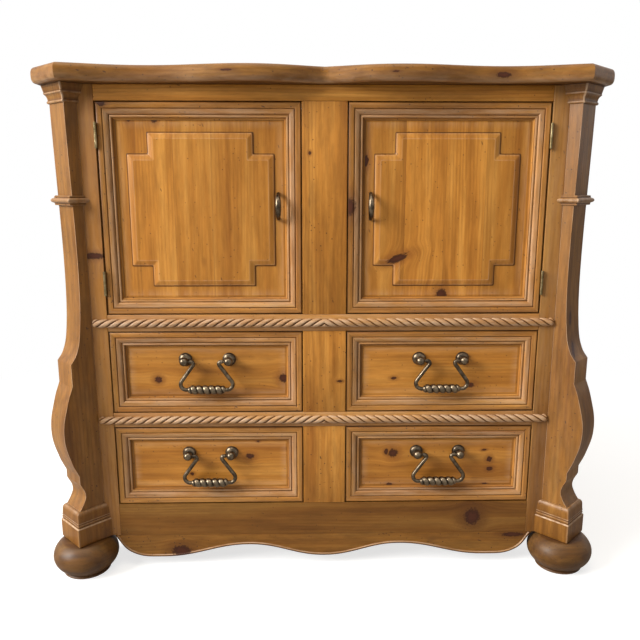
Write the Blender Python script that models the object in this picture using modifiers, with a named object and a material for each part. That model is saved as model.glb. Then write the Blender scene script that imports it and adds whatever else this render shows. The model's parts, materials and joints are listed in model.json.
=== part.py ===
"""Pine bar cabinet: two doors over four drawers, between scrolled corner posts on bun feet.

Metres, +Z up, +X to the right of someone facing the doors, +Y to the back.
The cabinet is drawn from the plane of its front frame (y = 0) and the floor (z = 0).
An empty then moves the whole of it so that the origin is under the middle of the object.
"""
import math

import bmesh
import bpy
from mathutils import Vector

# Fits
GAP = 0.0003
REVEAL = 0.0015
HINGE_SEAM = 0.0025
DRAWER_SIDE_FIT = 0.0012
DRAWER_HEADROOM = 0.010
DADO_DEPTH = 0.006
OVERLAP = 0.001

# Heights, stacked from the floor
FOOT_HEIGHT = 0.075
PLINTH_HEIGHT = 0.078
APRON_TOP = 0.150
DRAWER_HEIGHT = 0.1795
LOWER_RAIL_HEIGHT = 0.032
UPPER_RAIL_HEIGHT = 0.0355
DOOR_HEIGHT = 0.428
TOP_RAIL_HEIGHT = 0.031
TOP_THICKNESS = 0.0315

# Widths and depths of the case
OPENING_WIDTH = 0.408
CENTRE_STILE_WIDTH = 0.091
STILE_WIDTH = 0.032
STILE_DEPTH = 0.056
POST_WIDTH = 0.0605
FRAME_THICKNESS = 0.022
SIDE_THICKNESS = 0.018
BOARD_THICKNESS = 0.016
BACK_THICKNESS = 0.008
CASE_DEPTH = 0.455
PARTITION_THICKNESS = 0.018
GUIDE_HEIGHT = 0.014
DOOR_STOP = 0.006
SHELF_RISE = 0.215

# Top board
TOP_SIDE_OVERHANG = 0.0445
TOP_EDGE_ROUND = 0.013
TOP_CANT = 0.068
TOP_CORNER_REACH = 0.063
TOP_RECESS_REACH = 0.029
TOP_LOBE_REACH = 0.054
TOP_CUSP_REACH = 0.017
TOP_RECESS_X = 0.360
TOP_LOBE_X = 0.130

# Apron: its lower edge waves between lows and highs above the floor, its ends run on under the stiles
APRON_LOW = 0.022
APRON_HIGH = 0.050
APRON_SIDE_LOW_X = 0.360
APRON_HIGH_X = 0.165
APRON_TONGUE = 0.014
APRON_END_TURN = 0.0345
APRON_END_RISE = 0.012

# Corner posts: how far the scroll stands out of the cant, and its stretches above the plinth
POST_SHAFT = 0.0275
POST_FLARE = 0.0575
POST_NECK = 0.0418
POST_STEP = 0.0526
POST_BELLY = 0.0786
POST_NECK_RISE = 0.031
POST_STEP_RISE = 0.0615
POST_STEP_HEIGHT = 0.017
POST_BELLY_RISE = 0.175
POST_NOTCH_RISE = 0.279
POST_SHOULDER_HEIGHT = 0.0465
POST_SHAFT_RISE = 0.395
CAPITAL_HEIGHT = 0.036
CAPITAL_SPREAD = 0.0107
RING_DROP = 0.2235
RING_HEIGHT = 0.020
RING_SPREAD = 0.0090

# Plinths and feet
PLINTH_DEPTH = 0.069
PLINTH_SPREAD = 0.0095
PLINTH_BLOCK_HEIGHT = 0.0435
PLINTH_TAPER = 0.0075
FOOT_RADIUS = 0.071
FOOT_NECK_RADIUS = 0.047
FOOT_PAD_RADIUS = 0.050
FOOT_PAD_HEIGHT = 0.006
REAR_FOOT_WIDTH = 0.062
REAR_FOOT_DEPTH = 0.062
REAR_FOOT_TAPER = 0.008

# Rope mouldings
ROPE_RADIUS = 0.0098
ROPE_TIP_SHARE = 0.2
ROPE_END_TURNS = (0, 45, 70)

# Moulding round the doors and the drawer fronts, from its outer edge inwards
MOULD_WIDTH = 0.0345
MOULD_EDGE = 0.0012
MOULD_BAND = 0.0120
MOULD_RIDGE = 0.0055
MOULD_BEAD = 0.0025
MOULD_FILLET = 0.0010
MOULD_SINK = 0.0105

# Doors
DOOR_THICKNESS = 0.0215
PANEL_THICKNESS = 0.0075
PANEL_TONGUE = 0.0055
FIELD_MARGIN_X = 0.020
FIELD_MARGIN_Z = 0.0235
FIELD_NOTCH = 0.042
FIELD_RISE = 0.0055
FIELD_EDGE = 0.0075
FIELD_QUIRK = 0.0016
PULL_HEIGHT = 0.051
PULL_REACH = 0.024
PULL_FOOT_RADIUS = 0.0035
PULL_FOOT_HEIGHT = 0.003
PULL_GRIP_RADIUS = 0.0062
PULL_INSET = 0.047
PULL_RISE = 0.223

# Butt hinges
HINGE_HEIGHT = 0.050
HINGE_INSET = 0.066
HINGE_LEAF = 0.0008
HINGE_LEAF_DEPTH = 0.017
HINGE_BARREL_RADIUS = 0.003
HINGE_PIN_RADIUS = 0.0012

# Drawers
DRAWER_REAR_ROOM = 0.0394
DRAWER_WALL = 0.011
DRAWER_FLOOR = 0.008

# Bail pulls
BAIL_CENTRES = 0.093
BAIL_PIVOT_DROP = 0.0632
BAIL_EYE_GAP = 0.044
BAIL_WIDTH = 0.133
BAIL_DROP = 0.0615
BAIL_ROD_RADIUS = 0.0042
BAIL_PIN_RADIUS = 0.0024
BAIL_BEND_RADIUS = 0.012
BAIL_EYE_RADIUS = 0.0050
GRIP_LENGTH = 0.080
GRIP_BEADS = 6
GRIP_RADIUS = 0.0100
GRIP_WAIST = 0.0064
GRIP_GROOVE_SHARE = 0.16
GRIP_SHOULDER_SHARE = 0.22
ROSETTE_RADIUS = 0.0145
ROSETTE_HEIGHT = 0.009
BALL_RADIUS = 0.0095
BALL_STAND = 0.021
STALK_RADIUS = 0.005

# Facets
CURVE_STEPS = 5
ARC_STEPS = 5
TURN_STEPS = 24
SMALL_TURN_STEPS = 14
ROD_RESOLUTION = 2
WELD_DISTANCE = 0.00001
FLAT_ANGLE = 0.001

# Levels that follow from the stack
LOWER_RAIL_Z = APRON_TOP + DRAWER_HEIGHT
UPPER_DRAWER_Z = LOWER_RAIL_Z + LOWER_RAIL_HEIGHT
UPPER_RAIL_Z = UPPER_DRAWER_Z + DRAWER_HEIGHT
DOOR_Z = UPPER_RAIL_Z + UPPER_RAIL_HEIGHT
TOP_RAIL_Z = DOOR_Z + DOOR_HEIGHT
TOP_Z = TOP_RAIL_Z + TOP_RAIL_HEIGHT
PLINTH_TOP = FOOT_HEIGHT + GAP + PLINTH_HEIGHT
CASE_FOOT = FOOT_HEIGHT + GAP

# Places that follow from the widths and depths
DIAGONAL = math.sqrt(0.5)
INNER_X = CENTRE_STILE_WIDTH / 2
OUTER_X = INNER_X + OPENING_WIDTH
CORNER_X = OUTER_X + STILE_WIDTH
SIDE_X = CORNER_X + POST_WIDTH * DIAGONAL
SIDE_INNER_X = SIDE_X - SIDE_THICKNESS
CANT_BACK_Y = POST_WIDTH * DIAGONAL
INSIDE_BACK_Y = CASE_DEPTH - BACK_THICKNESS - GAP
PANEL_FACE_Y = MOULD_SINK + OVERLAP + GAP
FOOT_Y = (POST_WIDTH - PLINTH_DEPTH) / 2 * DIAGONAL
FRONT_Y = FOOT_Y - FOOT_RADIUS
HINGE_Y = -HINGE_BARREL_RADIUS - GAP
HINGE_X = OUTER_X - HINGE_SEAM / 2

ROW_LEVELS = {"lower": APRON_TOP, "upper": UPPER_DRAWER_Z}
SIDES = {"left": -1, "right": 1}
LIE_UP = (math.pi / 2, 0, 0)
LIE_ACROSS = (math.pi / 2, 0, math.pi / 2)
SMOOTH = "smooth"

# Colour, roughness and metallic value of each finish
FINISHES = {
    "pine": ((0.45, 0.21, 0.055), 0.42, 0.0),
    "dark_pine": ((0.16, 0.062, 0.020), 0.45, 0.0),
    "inner_pine": ((0.52, 0.33, 0.15), 0.65, 0.0),
    "brass": ((0.30, 0.22, 0.10), 0.34, 1.0),
}


def clear_scene():
    for item in list(bpy.data.objects):
        bpy.data.objects.remove(item)


def make_collection(name):
    collection = bpy.data.collections.new(name)
    bpy.context.scene.collection.children.link(collection)
    return collection


def make_empty(name, parent, place, turn=(0, 0, 0)):
    empty = bpy.data.objects.new(name, None)
    empty.location = place
    empty.rotation_euler = turn
    empty.parent = parent
    PARTS.objects.link(empty)
    return empty


def make_material(name, finish):
    colour, roughness, metallic = FINISHES[finish]
    material = bpy.data.materials.new(name + "_" + finish)
    material.use_nodes = True
    shader = material.node_tree.nodes["Principled BSDF"]
    shader.inputs["Base Color"].default_value = (*colour, 1)
    shader.inputs["Roughness"].default_value = roughness
    shader.inputs["Metallic"].default_value = metallic
    return material


def add_part(name, mesh, finish, parent, place=(0, 0, 0), turn=(0, 0, 0)):
    part = bpy.data.objects.new(name, mesh)
    part.data.materials.append(make_material(name, finish))
    part.location = place
    part.rotation_euler = turn
    part.parent = parent
    PARTS.objects.link(part)
    return part


def add_tool(name, mesh, parent, place=(0, 0, 0), turn=(0, 0, 0)):
    """A shape that only cuts or builds up a part."""
    tool = bpy.data.objects.new(name, mesh)
    tool.location = place
    tool.rotation_euler = turn
    tool.parent = parent
    tool.hide_render = True
    tool.display_type = "WIRE"
    TOOLS.objects.link(tool)
    return tool


def combine(part, operation, tool, solver="EXACT"):
    modifier = part.modifiers.new(tool.name, "BOOLEAN")
    modifier.operation = operation
    modifier.solver = solver
    modifier.object = tool


def finish_mesh(shape, name):
    """Turn an edit mesh into a mesh with its faces pointing out."""
    bmesh.ops.recalc_face_normals(shape, faces=shape.faces)
    mesh = bpy.data.meshes.new(name)
    shape.to_mesh(mesh)
    shape.free()
    return mesh


def box_mesh(low, high):
    shape = bmesh.new()
    bmesh.ops.create_cube(shape, size=1)
    low = Vector(low)
    high = Vector(high)
    bmesh.ops.scale(shape, vec=high - low, verts=shape.verts)
    bmesh.ops.translate(shape, vec=(low + high) / 2, verts=shape.verts)
    return finish_mesh(shape, "box")


def loft_mesh(loops, ring=False):
    """Skin a row of loops that have as many points each; a ring closes on its first loop."""
    shape = bmesh.new()
    rows = [[shape.verts.new(point) for point in loop] for loop in loops]
    pairs = list(zip(rows, rows[1:]))
    if ring:
        pairs.append((rows[-1], rows[0]))
    else:
        shape.faces.new(rows[0])
        shape.faces.new(rows[-1])
    for first, second in pairs:
        for corner in range(len(first)):
            shape.faces.new((first[corner - 1], first[corner], second[corner], second[corner - 1]))
    return finish_mesh(shape, "loft")


def welded_mesh(curve):
    """Mesh of a curve, with its caps joined to its sides and each flat stretch made one face."""
    holder = bpy.data.objects.new("holder", curve)
    bpy.context.scene.collection.objects.link(holder)
    seen = holder.evaluated_get(bpy.context.evaluated_depsgraph_get())
    shape = bmesh.new()
    shape.from_mesh(bpy.data.meshes.new_from_object(seen))
    bpy.data.objects.remove(holder)
    bmesh.ops.remove_doubles(shape, verts=shape.verts, dist=WELD_DISTANCE)
    bmesh.ops.recalc_face_normals(shape, faces=shape.faces)
    shape.normal_update()
    bmesh.ops.dissolve_limit(shape, angle_limit=FLAT_ANGLE, verts=shape.verts, edges=shape.edges)
    return finish_mesh(shape, "drawn")


def outline_mesh(points, thickness, rounding=0.0):
    """Flat plate with a drawn outline; a point marked SMOOTH is on a curve, any other is a corner."""
    curve = bpy.data.curves.new("outline", "CURVE")
    curve.dimensions = "2D"
    curve.fill_mode = "BOTH"
    curve.extrude = thickness / 2 - rounding
    curve.bevel_depth = rounding
    curve.offset = -rounding
    curve.resolution_u = CURVE_STEPS
    curve.bevel_resolution = ROD_RESOLUTION
    spline = curve.splines.new("BEZIER")
    spline.bezier_points.add(len(points) - 1)
    spline.use_cyclic_u = True
    for knot, point in zip(spline.bezier_points, points):
        knot.co = (point[0], point[1], 0)
        handle = "AUTO" if SMOOTH in point else "VECTOR"
        knot.handle_left_type = handle
        knot.handle_right_type = handle
    return welded_mesh(curve)


def rod_mesh(points, radii):
    """Round rod along a row of points, with a radius at each."""
    curve = bpy.data.curves.new("rod", "CURVE")
    curve.dimensions = "3D"
    curve.bevel_depth = 1
    curve.bevel_resolution = ROD_RESOLUTION
    curve.use_fill_caps = True
    spline = curve.splines.new("POLY")
    spline.points.add(len(points) - 1)
    for knot, point, radius in zip(spline.points, points, radii):
        knot.co = (*point, 1)
        knot.radius = radius
    mesh = welded_mesh(curve)
    mesh.shade_smooth()
    return mesh


def profile_mesh(points):
    """Open profile in the XZ plane, for turning."""
    shape = bmesh.new()
    knots = [shape.verts.new((radius, 0, height)) for radius, height in points]
    for first, second in zip(knots, knots[1:]):
        shape.edges.new((first, second))
    mesh = bpy.data.meshes.new("profile")
    shape.to_mesh(mesh)
    shape.free()
    return mesh


def turn_profile(part, steps):
    screw = part.modifiers.new("Turn", "SCREW")
    screw.axis = "Z"
    screw.steps = steps
    screw.render_steps = steps
    screw.use_merge_vertices = True
    screw.merge_threshold = WELD_DISTANCE


def arc(centre, radius, start, end, steps=ARC_STEPS):
    """Points on an arc, with its angles in degrees."""
    points = []
    for step in range(steps + 1):
        angle = math.radians(start + (end - start) * step / steps)
        points.append((centre[0] + radius * math.cos(angle), centre[1] + radius * math.sin(angle)))
    return points


def mirrored(points):
    """An outline from its right half, read from one end on the mirror line to the other."""
    left = [(-point[0], *point[1:]) for point in reversed(points) if point[0] > 0]
    return points + left


def rectangle(low_u, high_u, low_v, high_v):
    return [(low_u, low_v), (high_u, low_v), (high_u, high_v), (low_u, high_v)]


def upright_loop(outline, depth):
    """An outline in the XZ plane, at a depth along Y."""
    return [(u, depth, v) for u, v in outline]


def level_loop(outline, height):
    """An outline in the XY plane, at a height along Z."""
    return [(u, v, height) for u, v in outline]


def inset_rectangle(width, height, inset):
    half_width = width / 2 - inset
    half_height = height / 2 - inset
    return rectangle(-half_width, half_width, -half_height, half_height)


def moulding_profile():
    """Points of the moulding as (inset from the outer edge, depth behind the face)."""
    ridge_centre = (MOULD_BAND + MOULD_FILLET + MOULD_RIDGE, MOULD_RIDGE)
    ridge_end = ridge_centre[0] + MOULD_RIDGE
    bead_centre = (ridge_end + MOULD_BEAD, MOULD_RIDGE + MOULD_FILLET)
    bead_end = bead_centre[0] + MOULD_BEAD
    profile = [(0, MOULD_EDGE), (MOULD_EDGE, 0), (MOULD_BAND, 0)]
    profile += arc(ridge_centre, -MOULD_RIDGE, 30, 170)
    profile += arc(bead_centre, -MOULD_BEAD, 0, 180)
    profile += [(bead_end + MOULD_FILLET, bead_centre[1])]
    profile += [((bead_end + MOULD_WIDTH) / 2, (bead_centre[1] + 2 * MOULD_SINK) / 3)]
    profile += [(MOULD_WIDTH, MOULD_SINK)]
    return profile


def make_top(root):
    half_width = SIDE_X + TOP_SIDE_OVERHANG
    corner_x = half_width - TOP_CANT
    half = [
        (0, -TOP_CUSP_REACH),
        (TOP_LOBE_X, -TOP_LOBE_REACH, SMOOTH),
        (TOP_RECESS_X, -TOP_RECESS_REACH, SMOOTH),
        (corner_x, -TOP_CORNER_REACH),
        (half_width, TOP_CANT - TOP_CORNER_REACH),
        (half_width, CASE_DEPTH),
    ]
    mesh = outline_mesh(mirrored(half), TOP_THICKNESS, TOP_EDGE_ROUND)
    add_part("top_board", mesh, "pine", root, (0, 0, TOP_Z + TOP_THICKNESS / 2))


def board_outline(front_y):
    """Plan of a board that fits between the stiles in front and in the sides' dados behind them."""
    wide_x = SIDE_INNER_X + DADO_DEPTH - GAP
    narrow_x = OUTER_X - GAP
    shoulder_y = STILE_DEPTH + GAP
    return [
        (narrow_x, front_y),
        (narrow_x, shoulder_y),
        (wide_x, shoulder_y),
        (wide_x, INSIDE_BACK_Y),
    ]


def make_board(name, root, top_z, front_y, middle=()):
    """A level board; middle holds the points of a slot in its rear edge, from the right side in."""
    half = board_outline(front_y) + list(middle)
    left = [(-x, y) for x, y in reversed(half)]
    mesh = outline_mesh(half + left, BOARD_THICKNESS)
    add_part(name, mesh, "inner_pine", root, (0, 0, top_z - BOARD_THICKNESS / 2))


def make_boards(root):
    behind_frame = FRAME_THICKNESS + GAP
    slot_x = PARTITION_THICKNESS / 2 + GAP
    slot = [(slot_x, INSIDE_BACK_Y), (slot_x, partition_middle())]
    make_board("bottom_board", root, APRON_TOP, behind_frame)
    make_board("drawer_divider", root, UPPER_DRAWER_Z, behind_frame, slot)
    make_board("cupboard_floor", root, DOOR_Z + DOOR_STOP, behind_frame)
    make_board("shelf", root, DOOR_Z + SHELF_RISE, STILE_DEPTH / 2 + FRAME_THICKNESS)


def partition_middle():
    return (FRAME_THICKNESS + INSIDE_BACK_Y) / 2


def make_partition(root):
    """Upright between the drawer columns, with a guide at the foot of each row."""
    web_x = PARTITION_THICKNESS / 2
    low_z = APRON_TOP + GAP
    upper_z = UPPER_DRAWER_Z + 2 * GAP
    high_z = DOOR_Z + DOOR_STOP - BOARD_THICKNESS - GAP
    half = [
        (INNER_X, low_z),
        (INNER_X, low_z + GUIDE_HEIGHT),
        (web_x, low_z + GUIDE_HEIGHT),
        (web_x, upper_z),
        (INNER_X, upper_z),
        (INNER_X, upper_z + GUIDE_HEIGHT),
        (web_x, upper_z + GUIDE_HEIGHT),
        (web_x, high_z),
    ]
    left = [(-x, z) for x, z in reversed(half)]
    front_y = FRAME_THICKNESS + GAP
    length = INSIDE_BACK_Y - front_y
    mesh = outline_mesh(half + left, length)
    middle_y = (front_y + INSIDE_BACK_Y) / 2
    part = add_part("drawer_partition", mesh, "inner_pine", root, (0, middle_y, 0), LIE_UP)
    low = (-2 * web_x, front_y - OVERLAP, UPPER_DRAWER_Z - BOARD_THICKNESS - GAP)
    high = (2 * web_x, partition_middle() + GAP, UPPER_DRAWER_Z + GAP)
    combine(part, "DIFFERENCE", add_tool("divider_slot", box_mesh(low, high), root), "MANIFOLD")


def make_side_panel(name, side, root):
    """Side of the case: dados for the boards, and a guide for each drawer row."""
    dado_x = SIDE_INNER_X + DADO_DEPTH
    board_tops = (DOOR_Z + SHELF_RISE, DOOR_Z + DOOR_STOP, UPPER_DRAWER_Z, APRON_TOP)
    inner = []
    for top_z in board_tops:
        if top_z in ROW_LEVELS.values():
            inner += [(SIDE_INNER_X, top_z + GAP + GUIDE_HEIGHT), (OUTER_X, top_z + GAP + GUIDE_HEIGHT)]
            inner += [(OUTER_X, top_z + GAP), (dado_x, top_z + GAP)]
        else:
            inner += [(SIDE_INNER_X, top_z + GAP), (dado_x, top_z + GAP)]
        under_z = top_z - BOARD_THICKNESS - GAP
        inner += [(dado_x, under_z), (SIDE_INNER_X, under_z)]
    outline = [(SIDE_X, CASE_FOOT), (SIDE_X, TOP_Z - GAP), (SIDE_INNER_X, TOP_Z - GAP)]
    outline += inner + [(SIDE_INNER_X, CASE_FOOT)]
    front_y = STILE_DEPTH + GAP
    mesh = outline_mesh([(side * x, z) for x, z in outline], INSIDE_BACK_Y - front_y)
    add_part(name, mesh, "pine", root, (0, (front_y + INSIDE_BACK_Y) / 2, 0), LIE_UP)


def make_back(root):
    low = (-SIDE_X, CASE_DEPTH - BACK_THICKNESS, CASE_FOOT)
    mesh = box_mesh(low, (SIDE_X, CASE_DEPTH, TOP_Z - GAP))
    add_part("back_panel", mesh, "inner_pine", root)


def make_rail(name, low_z, height, root):
    """A rail between the stiles, halved over the centre stile behind it."""
    end_x = OUTER_X - GAP
    notch_x = INNER_X + GAP
    notch_y = FRAME_THICKNESS / 2
    outline = [
        (-end_x, 0),
        (end_x, 0),
        (end_x, FRAME_THICKNESS),
        (notch_x, FRAME_THICKNESS),
        (notch_x, notch_y),
        (-notch_x, notch_y),
        (-notch_x, FRAME_THICKNESS),
        (-end_x, FRAME_THICKNESS),
    ]
    add_part(name, outline_mesh(outline, height), "pine", root, (0, 0, low_z + height / 2))


def make_centre_stile(root):
    """Upright between the columns, halved in front for the two rails."""
    notch_y = FRAME_THICKNESS / 2 + GAP
    front = []
    for low_z, height in ((LOWER_RAIL_Z, LOWER_RAIL_HEIGHT), (UPPER_RAIL_Z, UPPER_RAIL_HEIGHT)):
        front += [(0, low_z - GAP), (notch_y, low_z - GAP)]
        front += [(notch_y, low_z + height + GAP), (0, low_z + height + GAP)]
    low_z = APRON_TOP + GAP
    high_z = TOP_RAIL_Z - GAP
    outline = [(FRAME_THICKNESS, low_z), (0, low_z)] + front + [(0, high_z), (FRAME_THICKNESS, high_z)]
    mesh = outline_mesh(outline, CENTRE_STILE_WIDTH)
    add_part("centre_stile", mesh, "pine", root, turn=LIE_ACROSS)


def make_stile(name, side, root):
    outline = [
        (OUTER_X, 0),
        (CORNER_X, 0),
        (SIDE_X, CANT_BACK_Y),
        (SIDE_X, STILE_DEPTH),
        (OUTER_X, STILE_DEPTH),
    ]
    height = TOP_Z - GAP - CASE_FOOT
    mesh = outline_mesh([(side * x, y) for x, y in outline], height)
    add_part(name, mesh, "pine", root, (0, 0, CASE_FOOT + height / 2))


def make_apron(root):
    """Board between the stiles, with a tongue under the foot of each."""
    end_x = OUTER_X - GAP
    tongue_x = OUTER_X + APRON_TONGUE
    tongue_z = CASE_FOOT - GAP
    half = [
        (0, APRON_LOW, SMOOTH),
        (APRON_HIGH_X, APRON_HIGH, SMOOTH),
        (APRON_SIDE_LOW_X, APRON_LOW, SMOOTH),
        (tongue_x - APRON_END_TURN, APRON_LOW + APRON_END_RISE, SMOOTH),
        (tongue_x, tongue_z),
        (end_x, tongue_z),
        (end_x, APRON_TOP),
    ]
    mesh = outline_mesh(mirrored(half), FRAME_THICKNESS)
    add_part("apron", mesh, "pine", root, (0, FRAME_THICKNESS / 2, 0), LIE_UP)


def make_top_rail(root):
    end_x = OUTER_X - GAP
    mesh = box_mesh((-end_x, 0, TOP_RAIL_Z), (end_x, FRAME_THICKNESS, TOP_Z - GAP))
    add_part("top_rail", mesh, "pine", root)


def make_rope(name, centre_z, root):
    """Half-round moulding with rounded ends, flat against the rail."""
    reach = CORNER_X - GAP - ROPE_RADIUS
    right = []
    left = []
    for turn in ROPE_END_TURNS:
        radius = ROPE_RADIUS * max(math.sin(math.radians(turn)), ROPE_TIP_SHARE)
        x = reach + ROPE_RADIUS * math.cos(math.radians(turn))
        section = arc((0, 0), radius, 180, 360, 2 * ARC_STEPS)
        right.append([(x, -GAP + y, z) for z, y in section])
        left.append([(-x, -GAP + y, z) for z, y in section])
    add_part(name, loft_mesh(right + left[::-1]), "pine", root, (0, 0, centre_z))


def post_outline():
    """Side view of a corner post as (distance out of the cant, height)."""
    base = PLINTH_TOP + GAP
    step_top = POST_STEP_RISE + POST_STEP_HEIGHT
    tip = POST_NOTCH_RISE + POST_SHOULDER_HEIGHT
    belly = (POST_STEP + POST_BELLY) / 2
    shoulder = (POST_STEP + POST_SHAFT) / 2
    top_z = TOP_Z - GAP - OVERLAP
    outline = [
        (POST_FLARE, 0),
        ((POST_FLARE + 2 * POST_NECK) / 3, POST_NECK_RISE / 2, SMOOTH),
        (POST_NECK, POST_NECK_RISE, SMOOTH),
        (POST_STEP, POST_STEP_RISE),
        (POST_STEP, step_top),
        (belly, (2 * step_top + POST_BELLY_RISE) / 3, SMOOTH),
        (POST_BELLY, POST_BELLY_RISE, SMOOTH),
        (belly, (POST_BELLY_RISE + 2 * POST_NOTCH_RISE) / 3, SMOOTH),
        (POST_STEP, POST_NOTCH_RISE),
        (POST_STEP, tip),
        (shoulder, (3 * tip + POST_SHAFT_RISE) / 4, SMOOTH),
        (POST_SHAFT, POST_SHAFT_RISE, SMOOTH),
    ]
    outline = [(point[0], base + point[1], *point[2:]) for point in outline]
    back = GAP + OVERLAP
    return outline + [(POST_SHAFT, top_z), (back, top_z), (back, base)]


def scribed_outline(back, front, half):
    """Plan of a block on a canted corner, its wings cut to fit the faces on either side of the cant."""
    reach = POST_WIDTH / 2 + GAP / DIAGONAL
    wing = reach - half
    turn = reach - back
    return [(wing, -half), (front, -half), (front, half), (wing, half), (back, turn), (back, -turn)]


def collar_mesh(low_z, levels):
    """Moulding that wraps a post and seats it on the cant: levels are (rise, spread)."""
    loops = []
    for rise, spread in levels:
        outline = scribed_outline(GAP, POST_SHAFT + spread, POST_WIDTH / 2 + spread)
        loops.append(level_loop(outline, low_z + rise))
    return loft_mesh(loops)


def make_corner(name, side, root):
    """Post, plinth and bun foot, drawn from the middle of the canted corner looking outwards."""
    middle = POST_WIDTH / 2 * DIAGONAL
    turn = -math.pi / 4 if side > 0 else -3 * math.pi / 4
    corner = make_empty(name + "_corner", root, (side * (CORNER_X + middle), middle, 0), (0, 0, turn))

    post = add_part(name + "_post", outline_mesh(post_outline(), POST_WIDTH), "pine", corner, turn=LIE_UP)
    third = CAPITAL_HEIGHT / 3
    bead = CAPITAL_SPREAD / 4
    capital = [
        (0, bead),
        (bead, 1.5 * bead),
        (2 * bead, bead),
        (third, bead),
        (2 * third - GAP, 2.5 * bead),
        (2 * third + GAP, 3.5 * bead),
        (CAPITAL_HEIGHT - GAP, CAPITAL_SPREAD),
    ]
    capital_mesh = collar_mesh(TOP_Z - CAPITAL_HEIGHT, capital)
    combine(post, "UNION", add_tool(name + "_capital", capital_mesh, corner))
    fillet = RING_SPREAD / 3
    ring = [(0, fillet), (RING_HEIGHT / 5, fillet)]
    for height, spread in arc((0, 0), 1, -60, 60, 4):
        ring.append((RING_HEIGHT / 2 + spread * RING_HEIGHT / 4, fillet + height * (RING_SPREAD - fillet)))
    ring += [(4 * RING_HEIGHT / 5, fillet), (RING_HEIGHT, fillet)]
    ring_mesh = collar_mesh(TOP_Z - RING_DROP - RING_HEIGHT / 2, ring)
    combine(post, "UNION", add_tool(name + "_ring", ring_mesh, corner))

    half = POST_WIDTH / 2 + PLINTH_SPREAD
    rest = PLINTH_HEIGHT - PLINTH_BLOCK_HEIGHT
    levels = [
        (0, 0),
        (PLINTH_BLOCK_HEIGHT, 0),
        (PLINTH_BLOCK_HEIGHT + OVERLAP, PLINTH_TAPER / 4),
        (PLINTH_BLOCK_HEIGHT + rest / 4, PLINTH_TAPER / 4),
        (PLINTH_BLOCK_HEIGHT + rest / 3, PLINTH_TAPER / 3),
        (PLINTH_HEIGHT - rest / 4, PLINTH_TAPER / 2),
        (PLINTH_HEIGHT, PLINTH_TAPER),
    ]
    loops = []
    for rise, taper in levels:
        outline = scribed_outline(GAP, PLINTH_DEPTH - taper, half - taper)
        loops.append(level_loop(outline, FOOT_HEIGHT + GAP + rise))
    add_part(name + "_plinth", loft_mesh(loops), "pine", corner)

    make_bun_foot(name + "_front_foot", corner)


def make_bun_foot(name, corner):
    pad_z = FOOT_PAD_HEIGHT
    bulge_z = (FOOT_HEIGHT + pad_z) / 2
    rise = (FOOT_HEIGHT - pad_z) / 2
    profile = [(0, FOOT_HEIGHT), (FOOT_NECK_RADIUS, FOOT_HEIGHT)]
    start = math.degrees(math.acos(FOOT_NECK_RADIUS / FOOT_RADIUS))
    end = -math.degrees(math.acos(FOOT_PAD_RADIUS / FOOT_RADIUS))
    stretch = rise / math.sin(math.radians(start))
    for radius, height in arc((0, 0), 1, start, end, 2 * ARC_STEPS)[1:-1]:
        profile.append((FOOT_RADIUS * radius, bulge_z + stretch * height))
    profile += [(FOOT_PAD_RADIUS, pad_z), (FOOT_PAD_RADIUS, 0), (0, 0)]
    foot = add_part(name, profile_mesh(profile), "dark_pine", corner, (PLINTH_DEPTH / 2, 0, 0))
    turn_profile(foot, TURN_STEPS)


def make_rear_foot(name, side, root):
    """Block foot that runs up inside the corner to the bottom board."""
    inner_x = SIDE_X - REAR_FOOT_WIDTH
    block_top = APRON_TOP - BOARD_THICKNESS - GAP
    outline = [
        (inner_x + REAR_FOOT_TAPER, 0),
        (SIDE_X - REAR_FOOT_TAPER, 0),
        (SIDE_X, FOOT_HEIGHT),
        (SIDE_INNER_X - GAP, FOOT_HEIGHT),
        (SIDE_INNER_X - GAP, block_top),
        (inner_x, block_top),
        (inner_x, FOOT_HEIGHT),
    ]
    mesh = outline_mesh([(side * x, z) for x, z in outline], REAR_FOOT_DEPTH)
    add_part(name, mesh, "dark_pine", root, (0, INSIDE_BACK_Y - REAR_FOOT_DEPTH / 2, 0), LIE_UP)


def notched_outline(width, height, inset):
    """Rectangle with a square bite out of each corner, drawn in by an inset."""
    outer_x = width / 2 - inset
    outer_z = height / 2 - inset
    inner_x = outer_x - FIELD_NOTCH
    inner_z = outer_z - FIELD_NOTCH
    quarter = [(outer_x, inner_z), (inner_x, inner_z), (inner_x, outer_z)]
    outline = []
    for sign_x, sign_z in ((1, 1), (-1, 1), (-1, -1), (1, -1)):
        points = [(sign_x * x, sign_z * z) for x, z in quarter]
        outline += points if sign_x * sign_z > 0 else reversed(points)
    return outline


def make_door_frame(name, width, height, hinge, place):
    """Mitred frame: moulded in front, grooved inside for the panel."""
    groove_inset = MOULD_WIDTH - PANEL_TONGUE - GAP
    groove_front = PANEL_FACE_Y - GAP
    groove_back = PANEL_FACE_Y + PANEL_THICKNESS + GAP
    profile = moulding_profile()
    profile += [(MOULD_WIDTH, groove_front), (groove_inset, groove_front)]
    profile += [(groove_inset, groove_back), (MOULD_WIDTH, groove_back)]
    profile += [(MOULD_WIDTH, DOOR_THICKNESS), (0, DOOR_THICKNESS)]
    loops = [upright_loop(inset_rectangle(width, height, inset), depth) for inset, depth in profile]
    add_part(name, loft_mesh(loops, ring=True), "pine", hinge, place)


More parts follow.
